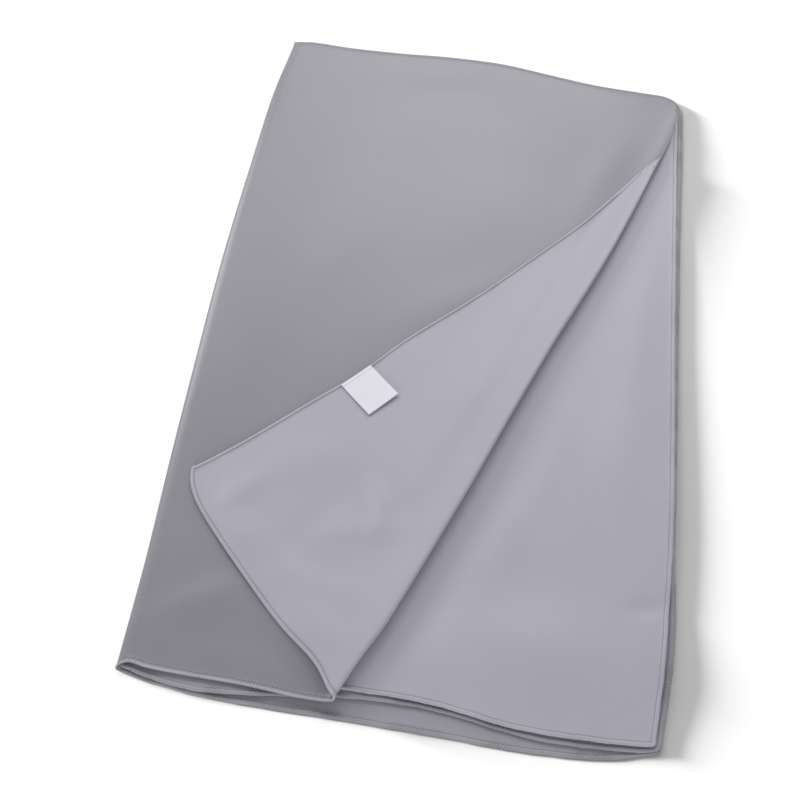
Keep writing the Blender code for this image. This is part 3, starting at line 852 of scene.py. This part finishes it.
@dataclass
class Grid:
    """A sheet of cloth as a grid: rows along the length, columns across.

    Its points lie on the cloth's middle surface. For each of them, cut is its place on the flat cut, and hem is how
    far it lies along the nearer hem and in from its edge.
    """
    points: np.ndarray
    cut: np.ndarray
    hem: np.ndarray
    thickness: np.ndarray

    def normals(self) -> np.ndarray:
        """Unit normals of the middle surface at the grid's points."""
        normals = np.cross(np.gradient(self.points, axis=1), np.gradient(self.points, axis=0))
        return normals / np.maximum(np.linalg.norm(normals, axis=2, keepdims=True), TINY)

    def line(self, row: int | slice, column: int | slice, side: float,
             sink: float) -> tuple[np.ndarray, np.ndarray]:
        """A line of the grid on one face of the cloth.

        Args:
            row: Its row, or the rows that it crosses.
            column: Its column, or the columns that it crosses.
            side: 1 for the face that the normals leave, -1 for the other.
            sink: How far it lies under that face.

        Returns:
            The line's points, and the face's normals there.
        """
        facing = self.normals()[row, column] * side
        reach = self.thickness[row, column][:, None] / 2 - sink
        return self.points[row, column] + facing * reach, facing

    def build(self, name: str, materials: Sequence[bpy.types.Material]) -> bpy.types.Object:
        """The sheet as an object with a real wall.

        Args:
            name: The object's name.
            materials: The finish of the face that the normals leave, and of the other face.

        Returns:
            The object, closed by its Solidify modifier.
        """
        rows, columns = self.thickness.shape
        index = np.arange(rows * columns).reshape(rows, columns)
        faces = np.stack([index[:-1, :-1], index[:-1, 1:], index[1:, 1:], index[1:, :-1]], axis=-1).reshape(-1, 4)
        mesh = bpy.data.meshes.new(name)
        mesh.from_pydata(self.points.reshape(-1, 3).tolist(), [], faces.tolist())
        for uv_name, places in ((CLOTH_UV, self.cut), (HEM_UV, self.hem)):
            layer = mesh.uv_layers.new(name=uv_name)
            layer.data.foreach_set("uv", places.reshape(-1, 2)[faces.ravel()].astype(np.float32).ravel())
        mesh.shade_smooth()
        for material in materials:
            mesh.materials.append(material)
        sheet = bpy.data.objects.new(name, mesh)
        bpy.context.scene.collection.objects.link(sheet)
        group = sheet.vertex_groups.new(name=BEAD_GROUP)
        most = float(self.thickness.max())
        shares = np.round(self.thickness.ravel() / most, SHARE_DECIMALS)
        for share in np.unique(shares):
            group.add(np.flatnonzero(shares == share).tolist(), float(share), "REPLACE")
        wall = sheet.modifiers.new("cloth wall", "SOLIDIFY")
        wall.thickness = most
        wall.offset = 0.0
        wall.vertex_group = group.name
        wall.thickness_vertex_group = 0.0
        wall.material_offset = len(materials) - 1
        wall.use_flat_faces = False
        return sheet


def dress(piece: bpy.types.Object, replaced: Sequence[str] = ()) -> bpy.types.Object:
    """Fastens a piece to the body and logs it.

    Args:
        piece: The piece.
        replaced: The CAD nodes that it stands for.

    Returns:
        The piece.
    """
    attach(piece, BODY)
    if replaced:
        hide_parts(*replaced)
    log.info("%s: %d points", piece.name, len(piece.data.vertices))
    return piece


@dataclass
class TopLayer:
    """The top layer, from under the folded left side round the roll to the turned-back corner's hems."""
    # The roll's line leans to the right, and the turned-back corner slopes down from its crest, steeper at first
    roll_lean: float = math.radians(21.05)
    slope_share: float = 0.8
    slope_least: float = 0.020
    slope_most: float = 0.100
    ramp: float = 0.75
    # The corner's upper tip, where its hem runs out and the rows lie closer
    flap_tip: float = 0.300
    fine_from: float = 0.255
    hem_fade: float = 0.012
    plain_inset: float = 4.0
    # The roll takes no more than this share of a short row, and flat rows bend to meet it from halfway across
    roll_most: float = 0.6
    bend_from: float = 0.5
    settle_rounds: int = 3
    # How far the left fold comes round under the packet, and how high it lies there
    under_reach: float = 0.006
    under_level: float = 0.0006
    fold_columns: int = 12
    flat_columns: int = 48
    roll_columns: int = 52
    turn_weight: float = 0.8
    flap_columns: int = 54
    flap_steps: int = 40
    long_rows: int = 168
    tip_rows: int = 64
    fold_rows: int = 8
    section_steps: int = 8
    unsewn_rows: int = 4
    grid: Grid | None = None
    section: np.ndarray = field(init=False)
    roll_places: np.ndarray = field(init=False)
    long_hem: np.ndarray = field(init=False)
    short_hem: np.ndarray = field(init=False)

    def __post_init__(self) -> None:
        """Works out the roll's section, the columns on it, closer where it turns, and the two hems' lines."""
        turns = np.array([(turn.out, 0.0, turn.up) for turn in SECTION])
        self.section = smooth_path(turns, self.section_steps)
        steps = np.diff(self.section, axis=0)
        headings = np.unwrap(np.arctan2(steps[:, 2], steps[:, 0]))
        turning = np.abs(np.diff(headings, append=headings[-1]))
        measure = np.cumsum(np.concatenate([[0.0], np.linalg.norm(steps, axis=1) + self.turn_weight * turning]))
        lengths = lengths_of(self.section)
        share = np.arange(self.roll_columns) / self.roll_columns
        self.roll_places = np.interp(share * measure[-1], measure, lengths / lengths[-1])
        self.long_hem = smooth_path(np.array([(hem.x, hem.y, 0.0) for hem in LONG_HEM]), self.section_steps)
        crest = self.roll_section(ROLLS[0].y)[-1]
        hems = [(crest[0], crest[1], 0.0)] + [(hem.x, hem.y, 0.0) for hem in SHORT_HEM]
        self.short_hem = smooth_path(np.array(hems), self.section_steps)

    def roll_section(self, y: float) -> np.ndarray:
        """The cloth's path round the roll.

        Args:
            y: Where the row crosses the roll's outermost line.

        Returns:
            The path's points, up to just behind the crest.
        """
        lean = self.roll_lean
        out = np.array([math.cos(lean), -math.sin(lean), 0.0])
        onward = np.array([math.sin(lean), math.cos(lean), 0.0])
        height = float(eased(ROLLS, "height", y))
        lengths = lengths_of(self.section)
        end = min(float(eased(ROLLS, "turned", y)), 1.0) * lengths[-1]
        shares = np.append(lengths[lengths < end], end)
        turns = along(self.section, shares)
        drift = (shares - lengths[OUTERMOST * self.section_steps]) * height * math.tan(lean)
        path = (np.array([float(eased(ROLLS, "x", y)), y, 0.0]) + out * turns[:, :1] * height
                + onward * drift[:, None])
        path[:, 2] = top_level(path[:, 0], path[:, 1]) + turns[:, 2] * height
        return path

    def flap_path(self, y: float) -> np.ndarray:
        """The cloth's path from the roll's crest over the turned-back corner.

        Args:
            y: Where the row crosses the roll's outermost line.

        Returns:
            The path's points, up to the long hem.
        """
        crest = self.roll_section(y)[-1] * (1, 1, 0)
        share = (y - ROLLS[0].y) / (self.flap_tip - ROLLS[0].y)
        hem = along(self.long_hem, share * lengths_of(self.long_hem)[-1])
        across = np.arange(1, self.flap_steps + 1) / self.flap_steps
        path = crest + (hem - crest) * across[:, None]
        straight = self.short_hem[0] + (self.long_hem[0] - self.short_hem[0]) * across[:, None]
        bow = along(self.short_hem, across * lengths_of(self.short_hem)[-1]) - straight
        path += (1 - share) * bow
        width = float(np.linalg.norm(hem - crest))
        slope = min(max(self.slope_share * width, self.slope_least), self.slope_most)
        down = np.clip(across * width / slope, 0.0, 1.0)
        lying = (1 - self.ramp) * smooth_step(0.0, 1.0, down) + self.ramp * down * (2 - down)
        flat = top_level(path[:, 0], path[:, 1]) + CLOTH.flap_lift
        drop = SECTION[-1].up * float(eased(ROLLS, "height", y)) - CLOTH.flap_lift
        path[:, 2] = flat + drop * (1 - lying) + FLAP.height(path[:, 0], path[:, 1]) * lying
        return path

    def rolled_row(self, y: float) -> np.ndarray:
        """One row from the roll's start to the long hem.

        Args:
            y: Where the row crosses the roll's outermost line.

        Returns:
            Its points, the same number on every row.
        """
        path = self.roll_section(y)
        if y < self.flap_tip:
            path = np.concatenate([path, self.flap_path(y)])
        total = lengths_of(path)[-1]
        full = lengths_of(self.section)[-1] * float(eased(ROLLS, "height", y))
        roll = min(full, self.roll_most * total)
        insets = hem_insets(total - roll)
        flap = total - roll - insets[-1]
        places = [roll * self.roll_places,
                  roll + flap * np.arange(self.flap_columns) / self.flap_columns,
                  total - insets[::-1]]
        return along(path, np.concatenate(places))

    def row_y(self, x: np.ndarray | float, row: int, outer: np.ndarray | float = 0.0) -> np.ndarray:
        """Where one row lies along the length.

        Args:
            x: Places across the packet.
            row: The row; the first ones are the bottom hem's.
            outer: Share of the way round the left fold, where the hem runs on to the lowest layer's.

        Returns:
            The places along the packet.
        """
        first = eased(ENDS, "first", x)
        bottom = first + (eased(ENDS, "lowest", x) - first) * outer
        insets = hem_insets()
        if row < len(insets):
            return bottom + insets[row]
        start = bottom + CLOTH.hem_width
        step = row - len(insets) + 1
        if step <= self.long_rows:
            return start + (self.fine_from - start) * step / self.long_rows
        end = eased(ENDS, "top", x) - CLOTH.fold_reach - CLOTH.solid_wall / 2
        return self.fine_from + (end - self.fine_from) * (step - self.long_rows) / self.tip_rows

    def flat_row(self, row: int) -> np.ndarray:
        """One whole row, from under the folded left side to the long hem.

        Args:
            row: The row; the first ones are the bottom hem's.

        Returns:
            Its points.
        """
        y = self.row_y(0.0, row)
        for _ in range(self.settle_rounds):
            y = self.row_y(eased(ROLLS, "x", y), row)
        y = float(y)
        rolled = self.rolled_row(y)
        left = float(eased(SIDES, "left", y)) + CLOTH.solid_wall / 2
        turn = np.linspace(-math.pi / 2, math.pi / 2, 2 * self.fold_columns + 1)[:-1]
        reach = np.where(turn < 0, self.under_reach, CLOTH.fold_reach)
        x = left + reach * (1 - np.cos(turn))
        middle = (CLOTH.top_level + self.under_level) / 2
        high = top_level(x, self.row_y(x, row)) - middle
        z = middle + np.sin(turn) * np.where(turn < 0, middle - self.under_level, high)
        outer = 1 - np.maximum(np.sin(turn), 0.0)
        fold = np.stack([x, self.row_y(x, row, outer), z], axis=1)
        share = np.arange(self.flat_columns) / self.flat_columns
        start = left + CLOTH.fold_reach
        x = start + (rolled[0, 0] - start) * share
        y = self.row_y(x, row)
        y = y + (rolled[0, 1] - self.row_y(rolled[0, 0], row)) * smooth_step(self.bend_from, 1.0, share)
        flat = np.stack([x, y, top_level(x, y)], axis=1)
        return np.concatenate([fold, flat, rolled])

    def make_grid(self) -> Grid:
        """Lays the rows: the bottom hem, the flat stretch and the fold at the top.

        Returns:
            The layer's grid.
        """
        count = len(HEM_SECTION) + self.long_rows + self.tip_rows
        rows = [self.flat_row(row) for row in range(count)]
        last = rows[-1]
        for turn in np.linspace(math.pi / 2, 0.0, self.fold_rows + 1)[1:]:
            fold = last.copy()
            fold[:, 1] += CLOTH.fold_reach * math.cos(turn)
            fold[:, 2] = CLOTH.fold_rim + (last[:, 2] - CLOTH.fold_rim) * math.sin(turn)
            rows.append(fold)
        points = np.array(rows)
        points[..., 1] = round_corner(points[..., 0], points[..., 1], CLOTH.corner_x)
        plain = smooth_step(self.flap_tip - self.hem_fade, self.flap_tip + self.hem_fade, points[:, -1:, 1])
        thickness = hem_thickness(points.shape[:2], plain)
        under = slice(0, self.fold_columns)
        thickness[:, under] = np.minimum(thickness[:, under], CLOTH.wall)
        step = np.linalg.norm(np.diff(points, axis=1), axis=2)
        u = np.concatenate([np.zeros((len(points), 1)), np.cumsum(step, axis=1)], axis=1)
        down = np.linalg.norm(np.diff(points[:, self.fold_columns * 2], axis=0), axis=1)
        v = np.repeat(np.concatenate([[0.0], np.cumsum(down)])[:, None], points.shape[1], axis=1)
        from_right = u[:, -1:] - u + self.plain_inset * CLOTH.hem_width * plain
        return Grid(points, np.stack([u, v], axis=2), hem_places(from_right, v), thickness)

    def build(self, finishes: Finishes) -> bpy.types.Object:
        """Makes the layer as one sheet.

        Args:
            finishes: The finishes; the glossy face lies up, and the wrong side where the corner is turned back.

        Returns:
            The sheet.
        """
        self.grid = self.make_grid()
        piece = self.grid.build("satin_top_layer", (finishes.face, finishes.wrong_side))
        return dress(piece, ("top_layer_turned_back",))

    def stitch_lines(self) -> list[tuple[np.ndarray, np.ndarray]]:
        """Finds where the hems are sewn.

        Returns:
            The stitch lines of the long hem, the short hem and the flat bottom hem, with the faces' normals.
        """
        turned = 2 * self.fold_columns + self.flat_columns + self.roll_columns // 2
        row, column = STITCH_STEP, -1 - STITCH_STEP
        sewn = (
            (slice(row, -self.fold_rows - self.unsewn_rows), column, -1.0),
            (row, slice(turned, column), -1.0),
            (row, slice(2 * self.fold_columns, turned), 1.0),
        )
        return [self.grid.line(*line, CLOTH.stitch_sink) for line in sewn]


@dataclass
class FlatLayer:
    """A layer that lies flat under the others, with hems at its right and bottom edges."""
    name: str
    # The column of SIDES and ENDS that holds its edges
    edge: str
    level: float
    replaced: tuple[str, ...]
    slot: Slot
    # Its swells where the roll leaves it bare, and those that go on under the other layers
    relief: Relief = Relief(())
    tucked: Relief = Relief(())
    # How far inside the left and top folds it ends, and how its top edge rises in the fold
    left_inset: float = 0.014
    top_inset: float = 0.014
    top_rise: float = 0.0
    rise_reach: float = 0.004
    hem_corner: float = 0.004
    fold_corner: float = 0.028
    # The hems' waves fade towards the cloth, and the bottom hem's start later than the right one's
    wave: float = 0.0004
    wave_reach: float = 0.020
    wave_phase: float = 0.0
    bottom_phase: float = 1.7
    # How far from the roll its bare swells start, and where they stand at full height
    bare_from: float = 0.012
    bare_full: float = 0.070
    # Its edges hang on each other's places, so they settle in a few rounds
    settle_rounds: int = 3
    columns: int = 110
    rows: int = 180
    grid: Grid | None = None

    def make_grid(self) -> Grid:
        """Lays the layer's points, with its corners rounded and its hems' edges slightly wavy.

        Returns:
            The layer's grid.
        """
        insets = hem_insets()
        across = np.arange(self.columns) / self.columns
        up = np.arange(1, self.rows + 1) / self.rows
        shape = (len(insets) + self.rows, self.columns + len(insets))
        x, y = np.zeros(shape), np.zeros(shape)
        for _ in range(self.settle_rounds):
            left = eased(SIDES, "left", y[:, :1]) + self.left_inset
            right = eased(SIDES, self.edge, y[:, -1:])
            inner = right - CLOTH.hem_width
            x = np.concatenate([left + (inner - left) * across, right - insets[::-1] + 0 * left], axis=1)
            bottom = eased(ENDS, self.edge, x[:1])
            top = eased(ENDS, "top", x[-1:]) - self.top_inset
            start = bottom + CLOTH.hem_width
            y = np.concatenate([bottom + insets[:, None], start + (top - start) * up[:, None]], axis=0)
        from_right, from_bottom = x[:, -1:] - x, y - y[:1]
        x = x + self.wave * ripple(y, self.wave_phase) * smooth_step(self.wave_reach, 0.0, from_right)
        later = self.wave_phase + self.bottom_phase
        y = y + self.wave * ripple(x, later) * smooth_step(self.wave_reach, 0.0, from_bottom)
        x, y = self.round_corner(x, y, 0, self.hem_corner)
        x, y = self.round_corner(x, y, -1, self.fold_corner)
        bare = smooth_step(self.bare_from, self.bare_full, x - eased(ROLLS, "x", y))
        z = self.level + self.relief.height(x, y) * bare + self.tucked.height(x, y)
        z += self.top_rise * smooth_step(self.rise_reach, 0.0, eased(ENDS, "top", x) - self.top_inset - y)
        cut = np.stack([x - x[:, :1].min(), y - y[:1].min()], axis=2)
        return Grid(np.stack([x, y, z], axis=2), cut, hem_places(from_right, from_bottom), hem_thickness(shape))

    @staticmethod
    def round_corner(x: np.ndarray, y: np.ndarray, row: int, radius: float) -> tuple[np.ndarray, np.ndarray]:
        """Rounds a right corner of the grid.

        Args:
            x: The points' places across.
            y: The points' places along.
            row: The corner's row, 0 or -1.
            radius: Its rounding.

        Returns:
            The new places across and along.
        """
        corner_x, corner_y = x[row, -1], y[row, -1]
        up = 1.0 if row == -1 else -1.0
        p = 1 - (corner_x - x) / radius
        q = 1 - up * (corner_y - y) / radius
        inside = (p > 0) & (q > 0)
        p, q = np.clip(p, 0, 1), np.clip(q, 0, 1)
        move_x = radius * (p * np.sqrt(1 - q ** 2 / 2) - p)
        move_y = up * radius * (q * np.sqrt(1 - p ** 2 / 2) - q)
        return x + np.where(inside, move_x, 0.0), y + np.where(inside, move_y, 0.0)

    def build(self, *materials: bpy.types.Material) -> bpy.types.Object:
        """Makes the layer as one sheet.

        Args:
            materials: The finish of its upper face, and of its lower face where that differs.

        Returns:
            The sheet.
        """
        self.grid = self.make_grid()
        return dress(self.grid.build(self.name, materials), self.replaced)

    def stitch_lines(self) -> list[tuple[np.ndarray, np.ndarray]]:
        """Finds where the hems are sewn.

        Returns:
            The stitch lines of the right and bottom hems, with the face's normals.
        """
        column = -1 - STITCH_STEP
        sewn = ((slice(STITCH_STEP, None), column), (STITCH_STEP, slice(None, column)))
        return [self.grid.line(*line, 1.0, CLOTH.stitch_sink) for line in sewn]


@dataclass
class CareLabel:
    """A bare white ribbon label, caught in the long hem of the turned-back corner."""
    x: float = -0.0775
    y: float = -0.0925
    turn: float = math.radians(49.0)
    width: float = 0.0430
    depth: float = 0.0490
    thickness: float = 0.0005
    clearance: float = 0.0012
    # The loose end lifts a little and curls across, because only the other end is sewn down
    loose_lift: float = 0.0010
    loose_curl: float = 0.0005
    curl_turn: float = 4.0
    steps: int = 40
    seam_steps: int = 3
    grid: Grid | None = None

    def make_grid(self) -> Grid:
        """Lays the label's points on the turned-back corner.

        Returns:
            The label's grid.
        """
        sewn = np.array([math.cos(self.turn), math.sin(self.turn)])
        inward = np.array([math.sin(self.turn), -math.cos(self.turn)])
        share = np.linspace(-0.5, 0.5, self.steps + 1)
        u, v = np.meshgrid(share, share)
        x = self.x + sewn[0] * self.width * u - inward[0] * self.depth * v
        y = self.y + sewn[1] * self.width * u - inward[1] * self.depth * v
        z = top_level(x, y) + CLOTH.flap_lift + FLAP.height(x, y) + CLOTH.solid_wall / 2 + self.clearance
        loose = np.clip(0.5 - v, 0.0, 1.0)
        z += self.loose_lift * loose ** 2 + self.loose_curl * loose * np.sin(self.curl_turn * u)
        cut = np.stack([(u + 0.5) * self.width, (v + 0.5) * self.depth], axis=2)
        return Grid(np.stack([x, y, z], axis=2), cut, cut + NO_HEM, np.full(x.shape, self.thickness))

    def build(self, ribbon: bpy.types.Material) -> bpy.types.Object:
        """Makes the label as one sheet of ribbon."""
        self.grid = self.make_grid()
        return dress(self.grid.build("care_label_ribbon", (ribbon,)), ("care_label",))

    def stitch_lines(self) -> list[tuple[np.ndarray, np.ndarray]]:
        """The line that holds the label's edge in the hem, with the face's normals."""
        return [self.grid.line(self.steps - self.seam_steps, slice(1, -1), 1.0, 0.0)]


@dataclass
class Stitching:
    """Stitches along lines on the cloth, made by Geometry Nodes."""
    name: str
    # Each line's points, and the normals of the face that it is sewn on
    lines: list[tuple[np.ndarray, np.ndarray]]
    material: bpy.types.Material
    pitch: float = 0.0030
    length: float = 0.0023
    thread: float = 0.00042
    # How far the stitches slant from the line, and how far each may stray from that, in radians
    lean: float = 0.0
    wander: float = 0.10
    seed: int = 4
    segments: int = 6
    rings: int = 5

    def make_tree(self) -> bpy.types.NodeTree:
        """Makes the node tree: the lines as curves, a thread-shaped bead at each pitch, the thread's finish.

        Returns:
            The tree.
        """
        tree = bpy.data.node_groups.new(self.name + " stitches", "GeometryNodeTree")
        tree.is_modifier = True
        tree.interface.new_socket(name="Lines", in_out="INPUT", socket_type="NodeSocketGeometry")
        for name in ("Pitch", "Length", "Thread", "Lean"):
            tree.interface.new_socket(name=name, in_out="INPUT", socket_type="NodeSocketFloat")
        tree.interface.new_socket(name="Seed", in_out="INPUT", socket_type="NodeSocketInt")
        tree.interface.new_socket(name="Stitches", in_out="OUTPUT", socket_type="NodeSocketGeometry")
        given = add_node(tree, "NodeGroupInput").outputs
        curve = add_node(tree, "GeometryNodeMeshToCurve", {}, {0: given["Lines"]})
        even = add_node(tree, "GeometryNodeResampleCurve", {"mode": "LENGTH"},
                        {"Curve": curve, "Length": given["Pitch"]})
        bead = add_node(tree, "GeometryNodeMeshUVSphere",
                        {"Segments": self.segments, "Rings": self.rings, "Radius": 0.5})
        smooth = add_node(tree, "GeometryNodeSetShadeSmooth", {}, {"Geometry": bead.outputs["Mesh"]})
        tangent = add_node(tree, "GeometryNodeInputTangent")
        facing = add_node(tree, "GeometryNodeInputNamedAttribute", {"data_type": "FLOAT_VECTOR", "Name": FACING})
        run = add_node(tree, "FunctionNodeAlignRotationToVector", {"axis": "X"}, {"Vector": tangent})
        stand = add_node(tree, "FunctionNodeAlignRotationToVector", {"axis": "Z", "pivot_axis": "X"},
                         {"Rotation": run, "Vector": facing})
        wander = add_node(tree, "FunctionNodeRandomValue", {"data_type": "FLOAT", 2: -self.wander, 3: self.wander},
                          {"Seed": given["Seed"]})
        angle = add_node(tree, "ShaderNodeMath", {"operation": "ADD"}, {0: given["Lean"], 1: wander.outputs[1]})
        swing = add_node(tree, "FunctionNodeAxisAngleToRotation", {"Axis": (0.0, 0.0, 1.0)}, {"Angle": angle})
        turned = add_node(tree, "FunctionNodeRotateRotation", {"rotation_space": "LOCAL"}, {0: stand, 1: swing})
        size = add_node(tree, "ShaderNodeCombineXYZ", {},
                        {"X": given["Length"], "Y": given["Thread"], "Z": given["Thread"]})
        placed = add_node(tree, "GeometryNodeInstanceOnPoints", {},
                          {"Points": even, "Instance": smooth, "Rotation": turned, "Scale": size})
        real = add_node(tree, "GeometryNodeRealizeInstances", {}, {0: placed})
        finished = add_node(tree, "GeometryNodeSetMaterial", {"Material": self.material}, {0: real})
        add_node(tree, "NodeGroupOutput", {}, {0: finished})
        return tree

    def build(self) -> bpy.types.Object:
        """Sews the lines.

        Returns:
            The stitches as one plain mesh.
        """
        points, edges, facing = [], [], []
        for line, normals in self.lines:
            first = len(points)
            points += line.tolist()
            facing += normals.ravel().tolist()
            edges += [(i, i + 1) for i in range(first, len(points) - 1)]
        mesh = bpy.data.meshes.new(self.name)
        mesh.from_pydata(points, edges, [])
        mesh.attributes.new(FACING, "FLOAT_VECTOR", "POINT").data.foreach_set("vector", facing)
        piece = bpy.data.objects.new(self.name, mesh)
        bpy.context.scene.collection.objects.link(piece)
        tree = self.make_tree()
        modifier = piece.modifiers.new("stitches", "NODES")
        modifier.node_group = tree
        values = {"Pitch": self.pitch, "Length": self.length, "Thread": self.thread, "Lean": self.lean,
                  "Seed": self.seed}
        for item in tree.interface.items_tree:
            if item.in_out == "INPUT" and item.name in values:
                modifier[item.identifier] = values[item.name]
        evaluated = piece.evaluated_get(bpy.context.evaluated_depsgraph_get())
        stitches = bpy.data.meshes.new_from_object(evaluated)
        piece.modifiers.clear()
        piece.data = stitches
        return dress(piece)


@dataclass(frozen=True)
class SoftLight:
    """A square soft light: its place, power in watts, size in metres, and whether the satin mirrors it."""
    name: str
    place: tuple[float, float, float]
    power: float
    size: float
    mirrored: bool = True


SOFT_LIGHTS = (
    SoftLight("window light", (-1.45, 1.02, 1.15), 18.0, 0.8),
    SoftLight("low back light", (0.45, 2.60, 1.20), 16.0, 0.7, mirrored=False),
    SoftLight("back light", (0.10, 2.75, 2.75), 45.0, 1.7),
    SoftLight("front fill", (-0.50, -2.20, 0.45), 19.0, 0.9, mirrored=False),
    SoftLight("right fill", (2.20, -0.60, 0.28), 9.0, 0.8, mirrored=False),
)


@dataclass
class Studio:
    """The floor, the soft lights and the camera. The floor light, far off, is placed by where it shines from."""
    camera_place: tuple[float, float, float] = (-0.0368, -0.7174, 1.0915)
    camera_yaw: float = 0.49
    camera_tilt: float = 29.82
    camera_roll: float = 9.3
    lens: float = 50.0
    sensor: float = 36.0
    nearest: float = 0.01
    surroundings: float = 0.43
    sweep_from: tuple[float, float, float] = (-1.0, 0.19, 0.19)
    sweep_power: float = 26.0
    sweep_softness: float = math.radians(13.0)
    floor_size: float = 12.0

    def make_camera(self) -> None:
        """The camera at the photo's angle."""
        data = bpy.data.cameras.new("photo camera")
        data.lens = self.lens
        data.sensor_width = self.sensor
        data.clip_start = self.nearest
        camera = bpy.data.objects.new("photo camera", data)
        turns = (Matrix.Rotation(math.radians(self.camera_yaw), 4, "Z")
                 @ Matrix.Rotation(math.radians(self.camera_tilt), 4, "X")
                 @ Matrix.Rotation(math.radians(self.camera_roll), 4, "Z"))
        camera.matrix_world = Matrix.Translation(self.camera_place) @ turns
        bpy.context.scene.collection.objects.link(camera)
        bpy.context.scene.camera = camera

    @staticmethod
    def place_light(data: bpy.types.Light, place: tuple[float, float, float]) -> bpy.types.Object:
        """Stands a light at a place, turned to the packet.

        Args:
            data: The light.
            place: Where it stands, or the direction that a far one shines from.

        Returns:
            The light's object.
        """
        light = bpy.data.objects.new(data.name, data)
        light.location = place
        light.rotation_mode = "QUATERNION"
        light.rotation_quaternion = Vector(place).to_track_quat("Z", "Y")
        bpy.context.scene.collection.objects.link(light)
        return light

    def make_lights(self) -> None:
        """The soft lights round the packet."""
        for row in SOFT_LIGHTS:
            data = bpy.data.lights.new(row.name, "AREA")
            data.energy = row.power
            data.size = row.size
            self.place_light(data, row.place).visible_glossy = row.mirrored

    def make_floor(self) -> None:
        """The plain pale floor, and the low light along it that leaves the packet's soft shadow."""
        bpy.ops.mesh.primitive_plane_add(size=self.floor_size)
        floor = bpy.context.active_object
        floor.name = "floor"
        floor.data.materials.append(PaperFinish().material())
        data = bpy.data.lights.new("floor light", "SUN")
        data.energy = self.sweep_power
        data.angle = self.sweep_softness
        lit = bpy.data.collections.new("lit by the floor light")
        lit.objects.link(floor)
        self.place_light(data, self.sweep_from).light_linking.receiver_collection = lit

    def build(self) -> None:
        """Everything round the object."""
        scene = bpy.context.scene
        scene.view_settings.view_transform = "Standard"
        world = bpy.data.worlds.new("studio")
        world.use_nodes = True
        background = world.node_tree.nodes["Background"]
        background.inputs["Color"].default_value = linear("ffffff")
        background.inputs["Strength"].default_value = self.surroundings
        scene.world = world
        self.make_camera()
        self.make_lights()
        self.make_floor()


def main() -> None:
    """Builds the studio, the layers from the top down, the label and the stitches."""
    Studio().build()
    finishes = Finishes.made()
    top_layer = TopLayer()
    top = top_layer.build(finishes)
    second_layer = FlatLayer("satin_second_layer", "second", CLOTH.second_level, ("second_layer",), Slot.WRONG_SIDE,
                             SECOND, fold_corner=0.022)
    second = second_layer.build(finishes.second, finishes.face)
    third_layer = FlatLayer("satin_third_layer", "third", CLOTH.third_level, ("folded_layers_below",), Slot.FOLDED,
                            tucked=Relief(THIRD_SWELLS), left_inset=0.0035, top_inset=0.006, fold_corner=0.026,
                            wave_phase=2.3)
    third = third_layer.build(finishes.folded)
    lowest_layer = FlatLayer("satin_lowest_layer", "lowest", CLOTH.lowest_level, ("folded_layers_below",),
                             Slot.FOLDED, left_inset=0.0050, top_inset=0.0005, top_rise=0.0012, wave_phase=4.1)
    lowest = lowest_layer.build(finishes.folded)
    care_label = CareLabel()
    label = care_label.build(finishes.ribbon)
    sewn = (("hem_stitches_top", top_layer), ("hem_stitches_second", second_layer),
            ("hem_stitches_third", third_layer), ("hem_stitches_lowest", lowest_layer))
    stitches = [Stitching(name, layer.stitch_lines(), finishes.thread).build() for name, layer in sewn]
    stitches.append(Stitching("label_stitches", care_label.stitch_lines(), finishes.ribbon, pitch=0.0024,
                              length=0.0019).build())


if __name__ == "__main__":
    main()
